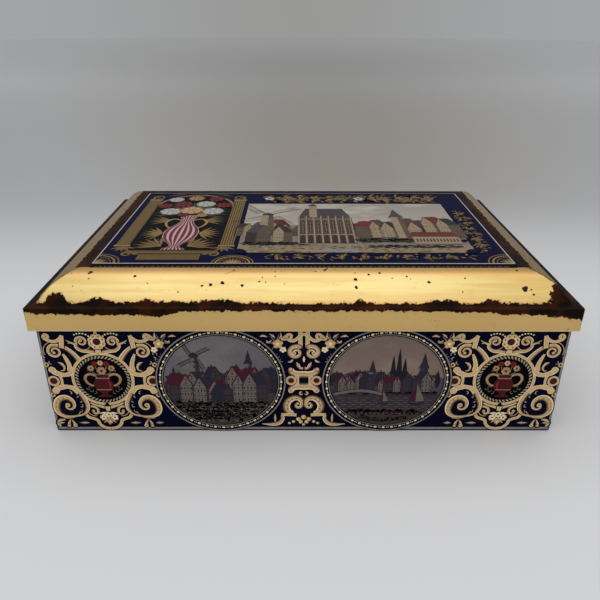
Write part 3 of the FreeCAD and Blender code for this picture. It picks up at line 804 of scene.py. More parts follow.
class Print:                    # gathers the strokes and flat shapes of one side

    def __init__(self):
        self.strokes = {}
        self.shapes = {}
        self.moveTo((0, 0))

    def moveTo(self, centre, side=1, height=None):
        self.centre, self.side, self.flip = centre, side, 1
        self.height = printing["firstLayer"] if height is None else height

    def place(self, across, up):
        return self.centre[0] + self.side * self.flip * across, self.centre[1] + up

    def up(self, layers=1):
        self.height += layers * printing["layer"]

    def halves(self):           # what this loop draws stands on the right, and then mirrored on the left
        for flip in (1, -1):
            self.flip = flip
            yield flip
        self.flip = 1

    def level(self, things):    # what this loop draws for each thing starts at the same height
        height = self.height
        for thing in things:
            self.height = height
            yield thing

    def stroke(self, inkName, points, closed=False, wider=0.0, straight=False, smooth=None):
        path = [(*self.place(across, up), width + 2 * wider) for across, up, width in points]
        if self.side * self.flip < 0:
            path.reverse()
        steps = smooth or printing["smooth"]
        self.strokes.setdefault(inkName, []).append((path, closed, straight, steps, self.height))
        self.height += printing["stroke"]

    def disc(self, inkName, across, up, radius, tall=1.0, wider=0.0, corners=8):
        half = (radius + wider) / 2
        ring = [(across + x, up + tall * z, 2 * half) for x, z in aroundCircle(half, corners)]
        self.stroke(inkName, ring, closed=True, smooth=2)

    def ring(self, inkName, across, up, halfWide, halfHigh, width, wider=0.0, corners=24, smooth=4):
        points = [(across + x, up + z, width) for x, z in aroundOval(halfWide, halfHigh, corners)]
        self.stroke(inkName, points, closed=True, wider=wider, smooth=smooth)

    def shape(self, inkName, corners):      # shapes of one ink and height must not cross each other
        key = (inkName, round(self.height, 4))
        self.shapes.setdefault(key, []).append([self.place(across, up) for across, up in corners])

    def box(self, inkName, left, foot, right, top):
        self.shape(inkName, [(left, foot), (right, foot), (right, top), (left, top)])

    def line(self, inkName, start, end, width):
        self.stroke(inkName, [(*start, width), (*end, width)], straight=True)

    def rail(self, inkName, left, right, up, width):        # a level line
        self.line(inkName, (left, up), (right, up), width)

    def post(self, inkName, across, foot, top, width):      # an upright one
        self.line(inkName, (across, foot), (across, top), width)

    def group(self, strokes, bothSides=True, gain=1.0):     # (ink, points, radius of the knob at the end)
        strokes = [(inkName, [(across, up, gain * width) for across, up, width in points], knob)
                   for inkName, points, knob in strokes]
        foot = highest = self.height
        for flip in (1, -1) if bothSides else (1,):
            self.flip, self.height = flip, foot
            for inkName, points, knob in strokes:           # black edges first
                self.stroke("edge", points, wider=printing["outline"])
                if knob:
                    self.disc("edge", *points[-1][:2], knob, wider=printing["outline"])
            self.up()
            for inkName, points, knob in strokes:
                self.stroke(inkName, points)
            for inkName, points, knob in strokes:
                if knob:
                    self.disc(inkName, *points[-1][:2], knob)
            highest = max(highest, self.height)
        self.flip, self.height = 1, highest
        self.up()

    def pieces(self):           # flat curves in millimetres: one per ink, and one per height of its shapes
        made = []
        for inkName, strokes in self.strokes.items():
            curve = bpy.data.curves.new(inkName, "CURVE")
            curve.dimensions, curve.twist_mode = "3D", "Z_UP"
            curve.extrude = 1.0
            for path, closed, straight, smooth, height in strokes:
                spline = curve.splines.new("POLY" if straight else "BEZIER")
                points = spline.points if straight else spline.bezier_points
                points.add(len(path) - 1)
                spline.use_cyclic_u, spline.resolution_u = closed, smooth
                for point, (across, up, width) in zip(points, path):
                    point.co = (across, up, height, 1) if straight else (across, up, height)
                    point.radius, point.tilt = width / 2, math.pi / 2
                    if not straight:
                        point.handle_left_type = point.handle_right_type = "AUTO"
            made.append((inkName, curve, 0.0))
        for (inkName, height), outlines in self.shapes.items():
            curve = bpy.data.curves.new(inkName, "CURVE")
            curve.dimensions, curve.fill_mode = "2D", "BOTH"
            for corners in outlines:
                spline = curve.splines.new("POLY")
                spline.points.add(len(corners) - 1)
                spline.use_cyclic_u = True
                for point, (across, up) in zip(spline.points, corners):
                    point.co = (across, up, 0, 1)
            made.append((inkName, curve, height))
        return made

    def lay(self, name, body, wrap):      # joins it all into one mesh and wraps it round its side
        bpy.ops.object.select_all(action="DESELECT")
        flats = []
        for inkName, curve, height in self.pieces():
            curve.materials.append(inks[inkName])
            flat = bpy.data.objects.new(name + "_" + inkName, curve)
            flat.location.z = height
            bpy.context.scene.collection.objects.link(flat)
            flat.select_set(True)
            flats.append(flat)
        bpy.context.view_layer.objects.active = flats[0]
        bpy.ops.object.convert(target="MESH")
        bpy.ops.object.join()
        piece = bpy.context.object
        piece.name = name
        bpy.ops.object.transform_apply(location=True, rotation=True, scale=True)
        startEditing(piece)
        bpy.ops.mesh.remove_doubles(threshold=printing["stroke"] / 4)
        bpy.ops.mesh.dissolve_degenerate(threshold=printing["stroke"] / 4)
        pick(piece, "FACE", lambda face: face.normal.z < 0)
        bpy.ops.mesh.flip_normals()
        stopEditing()
        for vertex in piece.data.vertices:
            vertex.co = wrap(vertex.co) * mm
        piece.data.update()
        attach(piece, body)
        print("print:", name, len(piece.data.polygons), "faces")


def onWall(turn, outward):      # stands a flat print on the wall that faces that way
    stand = Matrix.Rotation(math.radians(turn), 3, "Z") @ Matrix.Rotation(math.pi / 2, 3, "X")
    out = Matrix.Rotation(math.radians(turn), 3, "Z") @ Vector((0, -outward, 0))
    return lambda flat: stand @ Vector(flat) + out


# Strapwork of the walls. Strokes run (across, up, width) from a medallion's middle

medal = {"middle": 40.0, "ring": 18.7, "ringWidth": 2.2, "rope": 16.2, "ropeWidth": 2.0, "ropeTurns": 46,
         "disc": 15.4}

upperArms = [
    ("curl", [(1.5, 19.6, 3.4), (6.2, 20.6, 3.4), (10.6, 21.4, 3.1), (13, 24, 2.8)]
     + swirl((9.4, 27.3), -20, 1.25, 3.4, 0.9, 2.7, 1.1), 1.0),
    ("curlBack", [(13, 14.5, 4.4), (16, 19, 3.8), (20.5, 23, 3.2), (25.5, 24.6, 3)]
     + swirl((26.6, 20.3), 90, 1.4, 4.4, 1.1, 2.9, 1.2, way=-1), 1.2),
]
fishtails = [
    ("strap", [(16.8, 8.4, 4.4), (19.6, 4.6, 4), (22.8, 3.4, 3.4), (26.4, 3.9, 4.2), (29.6, 5.6, 4.8),
               (30.6, 7, 4.6)], 2.3),
    ("strap", [(16.8, -10, 4.4), (19.6, -6.8, 4), (22.8, -5.6, 3.4), (26.6, -5.8, 4.4), (30, -7, 4.8),
               (31, -8.6, 4.6)], 2.3),
    ("strap", [(26.6, 3, 2.4), (25.9, -1.2, 1.8), (26.6, -5.4, 2.4)], None),
    ("strap", [(22, 18.5, 1.6), (20.6, 15, 2.8), (19.4, 10.5, 3.4), (19.6, 6.4, 4)], None),
]
lowerScroll = [
    ("curl", [(17.4, -5.5, 3.4), (16.2, -10, 4), (14, -15, 4), (12.8, -19.6, 3.6), (13.6, -23.6, 3),
              (16, -26.4, 1.8), (20, -27.8, 1.7), (25, -28.4, 2), (29.3, -27.8, 3.2), (32.2, -25, 4.8),
              (32.6, -20.4, 5.6), (30.4, -15.6, 5.6), (26.4, -13.8, 5), (22.8, -15.6, 4),
              (21.4, -19, 3), (22.7, -22.1, 2.2), (25.4, -22.4, 1.8), (26.4, -20.6, 1.6),
              (25.4, -19.6, 1.3)], 1.5),
]
# thin lines round the volutes: middle, radius, start and end
echoes = [((26.6, 20.3), 6.9, -20, 120), ((9.4, 27.3), 6.0, -150, -60),
          ((26.6, -20.4), 9.6, -150, -60), ((8.6, -23.4), 4.6, -100, 20)]
scrollDots = [(32.4, -23.8), (32.9, -21), (32.2, -18), (30.2, -15.6), (27.4, -14.4), (24.6, -15)]
bottomLoops = [
    ("curlBack", [(14.6, -25.4, 1.9), (14.2, -22.6, 1.8), (11.6, -20.6, 1.8), (8, -21, 1.8),
                  (6.3, -23.6, 1.8), (7.2, -26.2, 1.7), (9.4, -26, 1.5), (9.6, -24.2, 1.2)], 1.2),
    ("strap", [(15, -26, 2), (13.4, -29, 2), (10, -30.4, 2), (8, -31.6, 2), (7, -34.4, 2), (4.4, -37.2, 2),
               (0, -38.2, 2)], None),
    ("strap", [(10.4, -17.6, 1.8), (5.6, -20, 1.7), (1, -21.8, 1.7)], None),
]
hooks = [
    ("strap", [(20.6, 31.6, 2.2), (21.3, 28, 2.8), (22, 22.8, 2.8)], None),
    ("strap", [(20.6, 31.6, 1.6), (22.6, 29, 2), (25.6, 27.4, 2.1), (29, 28, 2)]
     + swirl((30, 30.9), -80, 0.8, 2.2, 0.8, 1.9, 1.2), 1.1),
]
leaves = [
    ("curl", [(26.2, 12.6, 0.3), (24.2, 11.4, 1.9), (22.9, 9.2, 1.5), (23.4, 7, 1), (25.4, 6.4, 0.5)], None),
    ("curl", [(13.6, 25.8, 1.6), (16, 26.8, 1.2), (18.6, 28.4, 0.3)], None),
    ("curl", [(16, 26.8, 1), (17.8, 26, 0.3)], None),
]
buds = [
    ("curl", [(25, -31, 0.3), (23.9, -33.4, 1.6), (23.2, -36, 2.2)], 1.3),
    ("curlBack", [(25.4, -31, 0.3), (26.5, -33.4, 1.6), (27.2, -36, 2.2)], 1.3),
]
outerLeaf = [("curl", [(29, -31, 1), (32.5, -31.5, 2.2), (34, -34.5, 2.4), (32.8, -36.8, 1.2)], None)]
# small ticks between the straps: place and turn
commas = [(34.4, 18.5, 20), (33.5, 15.2, 0), (30.6, 12.4, -40), (22.5, -10.2, 150), (18.8, -12.7, 170),
          (17, -16.4, 180), (17, -20.2, 190), (18, -24, 215)]


def comma(sheet, inkName, across, up, turn, size=1.0, width=0.5):       # a small hooked tick
    sweep = swirl((across, up), turn - 70, 0.45, size, 0.7 * size, 0.4 * width, width)
    sheet.stroke(inkName, sweep, smooth=2)


def leaf(sheet, inkName, across, up, angle, length, width):
    x, z = length * math.cos(math.radians(angle)), length * math.sin(math.radians(angle))
    sheet.stroke(inkName, [(across, up, 0.3), (across + 0.45 * x, up + 0.45 * z, width),
                           (across + x, up + z, 0.2)], smooth=3)


def spray(sheet, inkName, across, up, angles, length, width):     # leaves that fan out from one point
    for angle in angles:
        leaf(sheet, inkName, across, up, angle, length, width)


def flower(sheet, across, up, radius, petals, petalInk, heartInk, turn=0.0):
    for x, z in aroundCircle(radius * 0.62, petals, turn, turn + 360):
        sheet.disc("edge", across + x, up + z, radius * 0.46)
    sheet.up(0.5)
    for x, z in aroundCircle(radius * 0.6, petals, turn, turn + 360):
        sheet.disc(petalInk, across + x, up + z, radius * 0.38)
    sheet.disc(heartInk, across, up, radius * 0.28)
    sheet.up(0.5)


def button(sheet, across, up, radius, width, setting, stone):   # a red stone in a gold ring
    for inkName, wider in (("edge", 0.4), ("curl", 0.0)):
        sheet.ring(inkName, across, up, radius, radius, width, wider=wider, corners=10, smooth=3)
    sheet.disc("coal", across, up, setting)
    sheet.disc("garnet", across, up, stone)


urnFlowers = [(-6.4, 8.4, 2.2, "petal"), (6.4, 8.4, 2.2, "petal"), (0, 6.4, 3.1, "petal"),
              (-3.7, 11.6, 2, "rose"), (3.7, 11.6, 2, "rose"), (0, 12.2, 1.9, "buff")]


def drawUrn(sheet):             # crimson urn with pale handles and flowers, on black
    sheet.disc("coal", 0, 0, medal["disc"], corners=16)
    sheet.up()
    for flip in sheet.halves():
        for reach in (0, 1, 2):
            comma(sheet, "sprig", 8.2 + 1.6 * reach, -6.2 + 2.4 * reach, 60 + 30 * reach, 1.5, 0.7)
            comma(sheet, "sprig", 6.4 + 1.9 * reach, -9.6 + 1.6 * reach, 200 + 30 * reach, 1.3, 0.6)
        handle = [(2.6, 1.2, 1.2), (5.2, 3.4, 1.5), (8.8, 3.8, 1.7), (10.9, 1.4, 1.7), (10.2, -2, 1.5),
                  (7.6, -4.2, 1.3), (5.2, -4.4, 0.9)]
        sheet.stroke("edge", handle, wider=0.4)
        sheet.stroke("petal", handle)
    sheet.up()
    sheet.stroke("crimson", [(0, -13.2, 9.5), (0, -12.2, 8.6), (0, -11.2, 3.4), (0, -9.8, 4.4), (0, -7, 10.6),
                             (0, -3.4, 13), (0, -0.6, 10.4), (0, 1, 6.4), (0, 2.2, 7.6), (0, 3, 9.4)])
    sheet.up(0.5)
    sheet.stroke("crimsonLight", [(-3.4, -7.4, 0.6), (-4.1, -4, 1.5), (-3.2, -0.8, 0.6)])
    sheet.rail("petal", -4.4, 4.4, 0.9, 0.5)
    sheet.rail("petal", -4.9, 4.9, -7.6, 0.45)
    sheet.up(0.5)
    for across, up in ((-6.6, 8.2), (6.6, 8.2), (-4, 12), (4, 12), (0, 13.4)):
        sheet.stroke("sprig", [(across * 0.3, 3.4, 0.7), (across * 0.8, up - 3, 0.6), (across, up, 0.4)])
        comma(sheet, "sprig", across * 1.15, up - 2.2, 90, 1.3, 0.8)
    sheet.up(0.5)
    for across, up, size, petalInk in urnFlowers:
        flower(sheet, across, up, size, 6, petalInk, "garnet")


def drawStrapwork(sheet):       # the straps and scrolls round the ring, and the ring itself
    for across, up, turn in commas:
        for flip in sheet.halves():
            comma(sheet, "paleGrey", across, up, turn, 1.35, 0.75)
    sheet.group(buds)
    sheet.group(outerLeaf, bothSides=False)
    for flip in sheet.halves():
        for start, length in ((13.2, 7.2), (29.6, 5.4)):
            leaf(sheet, "sprig", start, -33.6, 0, length, 2.4)
            leaf(sheet, "buff", start + 0.8, -33.6, 0, length - 1.8, 0.9)
        for up in (10.75, -11.75):
            sheet.ring("buff", 33.6, up, 1.2, 1.2, 0.9, corners=8, smooth=2)
    sheet.up()
    radius, width = medal["ring"], medal["ringWidth"]
    ring = [(x, z, width) for x, z in aroundCircle(radius, 12, -90, 90)] + [(0, radius, width)]
    sheet.group(bottomLoops)
    sheet.group([("strap", ring, None)] + lowerScroll + fishtails + upperArms, gain=0.81)
    for flip in sheet.halves():
        for across, up in scrollDots:
            sheet.disc("brown", across, up, 0.42, corners=4)
    sheet.group(leaves)
    sheet.group(hooks)
    for flip in sheet.halves():
        for (across, up), radius, start, end in echoes:
            places = aroundCircle(radius, 8, start, end)
            sheet.stroke("buff", [(across + x, up + z, 0.42) for x, z in places], smooth=3)


def drawTopFlower(sheet):
    flower(sheet, 0, 27.2, 5.6, 8, "strap", "strap", turn=22.5)
    sheet.disc("strap", 0, 27.2, 3.4)
    for x, z in aroundCircle(3.9, 8, 22.5, 382.5):
        sheet.disc("brown", x, 27.2 + z, 0.55, corners=5)
    sheet.disc("coal", 0, 27.2, 2.3)
    sheet.disc("garnet", 0, 27.2, 1.7)


def drawFootFlowers(sheet):
    spray(sheet, "cream", 0, -25.4, (185, 205, 335, 355), 6.4, 1.4)
    spray(sheet, "buff", 0, -29.6, (200, 225, 270, 315, 340), 5.6, 1.5)
    sheet.up(0.5)
    for across, up in ((-3.6, -29.2), (3.6, -29.2), (0, -27)):
        flower(sheet, across, up, 2.4, 5, "cream", "brown")
    flower(sheet, 0, -32.6, 1.9, 5, "buff", "cream")


def drawMedallion(sheet, centre, side):
    sheet.moveTo(centre, side)
    drawStrapwork(sheet)
    for flip in sheet.halves():
        button(sheet, 31.1, -1.2, 2.8, 1.7, 2.1, 1.6)
    rope, turns = medal["rope"], medal["ropeTurns"]
    sheet.ring("coal", 0, 0, rope, rope, medal["ropeWidth"] + 0.6)
    for inner, outer in zip(aroundCircle(rope - 1, turns), aroundCircle(rope + 1, turns, 5, 365)):
        sheet.line("paleGrey", inner, outer, 0.95)
    sheet.up()
    sheet.group([("strap", [(0, 19.5, 3.8), (0, 22, 2.8), (0, 24, 3)], None),
                 ("strap", [(0, 31.6, 1.6), (0, 33.2, 2), (0, 35.5, 0.6)], None),
                 ("strap", [(0, -20.6, 3), (0, -22.4, 2.6), (0, -24, 2.4)], None)], bothSides=False)
    sheet.disc("coal", 0, -19, 1.3)
    drawTopFlower(sheet)
    drawFootFlowers(sheet)
    for across, up in ((4.4, 31.2), (5.8, 32.3), (7.6, 32.9), (9.4, 33.1), (11.2, 32.9), (12.8, 32.2)):
        for flip in sheet.halves():
            sheet.disc("cream", across, up, 0.55, corners=5)
    sheet.up()
    drawUrn(sheet)


# The upright between two pictures, from the middle of a wall's foot

divider = {
    "stems": [
        ("strap", [(2.2, 74.5, 2.2), (2.2, 68, 2.2), (2.2, 63, 2.3)], None),
        ("strap", [(2.6, 71.6, 1.6), (4.6, 69, 1.9), (7.2, 67.9, 2), (9.6, 69, 1.8)]
         + swirl((8.6, 70.9), -30, 0.7, 2.1, 0.9, 1.7, 1.1), 1.0),
        ("curl", [(2.2, 62.6, 2.6)] + swirl((5, 59.6), 120, 1.4, 4.9, 1.2, 2.6, 1.3, way=-1), 1.3),
    ],
    "spool": [
        ("curlBack", [(0, 43.6, 4), (4.6, 43.8, 3.8), (7.6, 45.6, 3.4), (8.2, 47.4, 3)], 1.6),
        ("curl", [(0, 34.8, 4), (4.6, 34.8, 3.8), (7.6, 33.2, 3.4), (8.2, 31.4, 3)], 1.6),
        ("strap", [(4.3, 43, 2), (4.3, 39, 2), (4.3, 35, 2)], None),
    ],
    "scrolls": [
        ("curlBack", [(7.4, 13.4, 3.4), (10.4, 16.4, 4), (11, 20.8, 4.2), (8.2, 25, 4), (4.2, 26, 3.4),
                      (1.3, 23.6, 2.8), (1.2, 20.6, 2.2), (2.4, 18.6, 1.9), (4.6, 18.8, 1.7), (5, 20.9, 1.5),
                      (3.8, 21.6, 1.3)], 1.2),
        ("strap", [(4.6, 12.6, 2), (10, 12.9, 2), (14.4, 12.9, 1.8)], None),
        ("curl", [(14, 12.5, 2), (13.8, 9.5, 2.4), (16, 6.4, 2.8), (20, 5.3, 2.4), (27, 5.6, 0.5)], None),
        ("curl", [(18.6, 13.4, 0.4), (18.6, 10.4, 1.4), (18.6, 7.2, 0.8)], None),
    ],
    "leaves": [
        ("curl", [(4.6, 52.6, 0.3), (3.8, 50.6, 1.8), (2.6, 48.6, 1.4), (1, 47.8, 0.9), (0.8, 49.2, 0.4)],
         None),
        ("curl", [(1.4, 31, 0.6), (2.6, 29.8, 1), (1.8, 28.4, 0.8), (0.6, 29, 0.4)], None),
        ("curl", [(6.4, 55.4, 0.3), (8, 53.4, 1.2), (10, 52.6, 0.3)], None),
    ],
    "buds": [(-3.4, 9.4, 1.5), (3.4, 9.4, 1.5), (0, 11, 1.7), (-1.9, 7.2, 1.4), (1.9, 7.2, 1.4),
             (-6.6, 7.4, 1.1), (6.6, 7.4, 1.1), (-9.2, 6.2, 0.9), (9.2, 6.2, 0.9), (0, 5, 1)],
}


def drawDivider(sheet, across):
    sheet.moveTo((across, 0))
    for part, gain in (("leaves", 1.3), ("scrolls", 1.1), ("spool", 1.25), ("stems", 1.1)):
        sheet.group(divider[part], gain=gain)
    for aside in (-8, 8):
        button(sheet, aside, 39.2, 2.4, 1.8, 1.7, 1.3)
    sheet.stroke("cream", [(0, 56.8, 0.3), (0, 54.8, 1.5), (0, 52.6, 0.3)])
    sheet.stroke("strap", [(-3, 71, 1.8), (0, 72.4, 2.2), (3, 71, 1.8)])
    for flip in sheet.halves():
        for x, z in ((10.4, 17.4), (10.9, 20.4), (9.8, 23.2), (7.4, 25), (4.6, 25.4)):
            sheet.disc("brown", x, z, 0.5, corners=5)
    for x, z, radius in divider["buds"]:
        sheet.disc("edge", x, z, radius + 0.4)
    sheet.up(0.5)
    for x, z, radius in divider["buds"]:
        sheet.disc("buff", x, z, radius)
        sheet.stroke("cream", [(x - 0.2, z - radius * 0.7, 0.2), (x - 0.4, z, radius * 0.5),
                               (x - 0.2, z + radius * 0.7, 0.2)], smooth=2)


# Oval pictures with their bead rings

oval = {"middle": 38.5, "halfWide": 36.6, "halfHigh": 34.0, "beads": 44, "centres": 52.2}


def drawOvalFrame(sheet, across):       # comes after its picture, and lies over its edge
    sheet.moveTo((across, oval["middle"]), height=sheet.height)
    for flip in sheet.halves():        # flowers and leaves in the upper corners
        spray(sheet, "sprig", 35.4, 28.4, (20, 75, 130, 185, 240, 300), 6.2, 0.9)
        spray(sheet, "curl", 38.4, 30.2, (12, 52, 95), 5.2, 1.5)
        flower(sheet, 36.2, 27.4, 3.4, 5, "buff", "cream", turn=18)
        flower(sheet, 39.4, 23.4, 2.2, 5, "cream", "buff", turn=50)
        comma(sheet, "grey", 36.8, 19.4, 200, 1.5)
        comma(sheet, "grey", 38.8, 15.8, 190, 1.4)
        sheet.stroke("curl", [(25.4, 32.6, 0.3), (27.4, 33.3, 1.8), (30, 32.4, 0.4)])
        sheet.stroke("curl", [(31.4, 34.4, 0.3), (33.4, 33.2, 1.5), (34.6, 31.6, 0.4)])
        sheet.stroke("curl", [(32.4, 30, 0.4), (31, 28.6, 1.1), (29.6, 28.8, 1), (29.6, 30, 0.4)])
        sheet.stroke("curl", [(38.6, 33.6, 0.3), (38, 32, 1.2), (37, 31, 0.4)])
    sheet.up()
    wide, high = oval["halfWide"] + 1.4, oval["halfHigh"] + 1.4
    sheet.ring("edge", 0, 0, wide + 0.4, high + 0.4, 5.4, corners=32)
    sheet.ring("grey", 0, 0, wide + 2.3, high + 2.3, 0.8, corners=32)
    sheet.ring("grey", 0, 0, oval["halfWide"] - 0.1, oval["halfHigh"] - 0.1, 0.5, corners=32)
    step = 360 / oval["beads"]
    for bead in range(oval["beads"]):
        angle = math.radians(step * bead)
        along = (-wide * math.sin(angle), high * math.cos(angle))
        length = math.hypot(*along)
        x, z = wide * math.cos(angle), high * math.sin(angle)
        halfX, halfZ = 0.95 * along[0] / length, 0.95 * along[1] / length
        sheet.stroke("cream", [(x - halfX, z - halfZ, 0.7), (x, z, 1.35), (x + halfX, z + halfZ, 0.7)],
                     smooth=3)
    for gap in (0.4, 0.6):
        for x, z in aroundOval(wide, high, oval["beads"], step * gap, 360 + step * gap):
            sheet.disc("cream", x, z, 0.34, corners=4)
    sheet.up()


# Land, trees and houses of the pictures

def startOval(sheet, across, skyName):
    sheet.moveTo((across, oval["middle"]))
    sheet.shape(skyName, aroundOval(oval["halfWide"], oval["halfHigh"], 64))
    sheet.up()


def land(sheet, inkName, skyline):      # ground below a skyline, closed along the oval's lower edge
    wide, high = oval["halfWide"] - 0.3, oval["halfHigh"] - 0.3
    start = math.degrees(math.asin(skyline[-1][1] / high))
    end = -180 - math.degrees(math.asin(skyline[0][1] / high))
    sheet.shape(inkName, skyline[1:-1] + aroundOval(wide, high, 40, start, end))
    sheet.up()


def poplar(sheet, inkName, across, foot, tall, wide):
    sheet.stroke(inkName, [(across, foot, 0.5), (across, foot + 0.1 * tall, 0.5 * wide),
                           (across + 0.04 * wide, foot + 0.42 * tall, wide),
                           (across, foot + 0.8 * tall, 0.5 * wide), (across, foot + tall, 0.2)], smooth=3)


def bush(sheet, inkName, chance, across, foot, wide, tall):
    for clump in sheet.level(range(5)):
        x = across + wide * (chance.random() - 0.5)
        z = foot + tall * chance.random()
        sheet.disc(inkName, x, z, 0.16 * wide + 0.12 * wide * chance.random(), tall=0.8, corners=6)


def pane(sheet, inkName, across, foot, half, tall):     # a window
    sheet.box(inkName, across - half, foot, across + half, foot + tall)


def cottage(sheet, paint, across, foot, wide, wall, roof, deep, floors):
    # a gable towards the viewer and a long roof that runs off to one side
    timber, half = paint["timber"], wide / 2
    eaves, ridge = foot + wall, foot + wall + roof
    way = 1 if deep > 0 else -1
    side = across + way * half
    chimney = across + 0.62 * deep
    sheet.shape(paint["shade"], [(side, foot), (side + deep, foot), (side + deep, eaves), (side, eaves)])
    sheet.box(paint["shade"], chimney, ridge - 0.4, chimney + 0.9, ridge + 1.6)
    sheet.up(0.3)
    sheet.shape(paint["roof"], [(across, ridge + 0.3), (across + deep, ridge + 0.3),
                                (side + way * 0.6 + deep, eaves - 0.5), (side + way * 0.6, eaves - 0.5)])
    sheet.up(0.3)
    sheet.shape(paint["wall"], [(across - half, foot), (across + half, foot), (across + half, eaves),
                                (across, ridge), (across - half, eaves)])
    courses = max(2, round(abs(deep) / 1.1))
    for course in sheet.level(range(1, courses)):
        x = across + deep * course / courses
        sheet.line(timber, (x, ridge), (x + way * half, eaves - 0.3), 0.14)
    sheet.up(0.3)
    for edge in (-1, 1):
        sheet.line(paint["roof"], (across + edge * (half + 0.7), eaves - 0.6), (across, ridge + 0.3), 0.8)
    columns = max(2, round(wide / 2.2))
    places = [across - half + wide * (column + 0.5) / columns for column in range(columns)]
    places += [side + way * (1.3 + 2.3 * window) for window in range(max(1, round(abs(deep) / 2.4)))]
    for row in range(floors):
        for x in places:
            pane(sheet, timber, x, foot + wall * (row + 0.3) / floors, 0.38, min(1.7, 0.42 * wall / floors))
    for row in (0.18, 0.46):
        pane(sheet, timber, across, eaves + roof * row, 0.4, 1.2)
    sheet.up(0.3)
    for row in range(floors + 1):
        sheet.rail(timber, across - half, across + half, foot + wall * row / floors, 0.24)
    for edge in (-0.97, 0.97):
        sheet.post(timber, across + edge * half, foot, eaves, 0.3)
    sheet.up(0.3)


def street(sheet, chance, paints, left, right, foot, size, tall=1.0):   # gabled houses of uneven height
    across, house = left, 0
    while across < right:
        wide = size * (0.8 + 0.5 * chance.random())
        wall = tall * size * (1.0 + 0.9 * chance.random())
        deep = size * (0.5 + 0.8 * chance.random()) * (1 if house % 3 else -1)
        ground = foot + 0.12 * size * chance.random()
        cottage(sheet, paints[house % len(paints)], across, ground, wide, wall, 0.9 * tall * wide, deep,
                floors=3 if wall > 1.4 * size else 2)
        across += wide * (0.95 + 0.4 * chance.random())
        house += 1


def tower(sheet, paint, across, foot, tall, wide):      # a round tower with a pointed roof
    top = foot + tall
    sheet.post(paint["wall"], across, foot, top, wide)
    sheet.post(paint["shade"], across + 0.3 * wide, foot, top, 0.4 * wide)
    sheet.stroke(paint["roof"], [(across, top, 1.3 * wide), (across, top + 0.8 * wide, 0.7 * wide),
                                 (across, top + 2.2 * wide, 0.2)])
    for row in range(3):
        for column in (-0.24, 0.12):
            pane(sheet, paint["timber"], across + column * wide, foot + tall * (0.35 + 0.22 * row), 0.35, 1.2)
    sheet.up(0.3)


def windmill(sheet, paint, across, foot, tall, wide, turn):
    top, length, vane = foot + tall, 0.78 * tall, 0.14 * tall
    sheet.stroke(paint["wall"], [(across, foot, wide), (across, top, 0.58 * wide)], straight=True)
    sheet.stroke(paint["shade"], [(across + 0.28 * wide, foot, 0.42 * wide),
                                  (across + 0.17 * wide, top, 0.24 * wide)], straight=True)
    sheet.stroke(paint["roof"], [(across, top - 0.2, 0.74 * wide), (across, top + 0.2 * wide, 0.6 * wide),
                                 (across, top + 0.42 * wide, 0.2)])
    for level in (0.24, 0.5, 0.74):
        pane(sheet, paint["timber"], across, foot + level * tall, 0.5, 1.3)
    sheet.up(0.3)
    for arm in range(4):
        angle = math.radians(turn + 90 * arm)
        alongX, alongZ = math.cos(angle), math.sin(angle)

        def spot(out, aside=0.0):       # a place on this arm, or beside it
            return across + alongX * out - alongZ * aside, top + alongZ * out + alongX * aside

        sheet.line(paint["timber"], spot(0), spot(length), 0.5)
        for rung in range(9):
            out = length * (0.24 + 0.08 * rung)
            sheet.line(paint["timber"], spot(out), spot(out, vane), 0.28)
        sheet.line(paint["timber"], spot(0.24 * length, vane), spot(0.88 * length, vane), 0.32)
    sheet.up(0.3)


def hedge(sheet, chance, coats, left, right, foot, size, bend=0.0):     # bushes in a row, dark ones first
    for inkName, share in coats:
        level = sheet.height
        across = left
        while across < right:
            sheet.height = level
            low = foot + bend * across * across
            bush(sheet, inkName, chance, across, low, share * size, 0.5 * share * size)
            across += 0.55 * size
        sheet.up(0.3)


def ripples(sheet, inkName, left, right, foot, lines):
    for line in sheet.level(range(lines)):
        for step in sheet.level(range(int((right - left) / 6))):
            x, z = left + 6 * step + 2.7 * (line % 2), foot - 1.7 * line
            sheet.stroke(inkName, [(x - 2, z, 0.12), (x, z + 0.1, 0.34), (x + 2, z, 0.12)], smooth=2)


duskPaint = {"wall": "duskWall", "shade": "duskShade", "roof": "duskRoof", "timber": "duskTimber"}
slatePaint = dict(duskPaint, roof="duskSlate")
dimPaint = dict(slatePaint, wall="duskShade", shade="duskSlate")
farHouses = [dimPaint, duskPaint, slatePaint]
nearHouses = [duskPaint, slatePaint, duskPaint, dimPaint]


pictureSeeds = {"millHill": 5, "lakeShore": 11, "lid": 3}


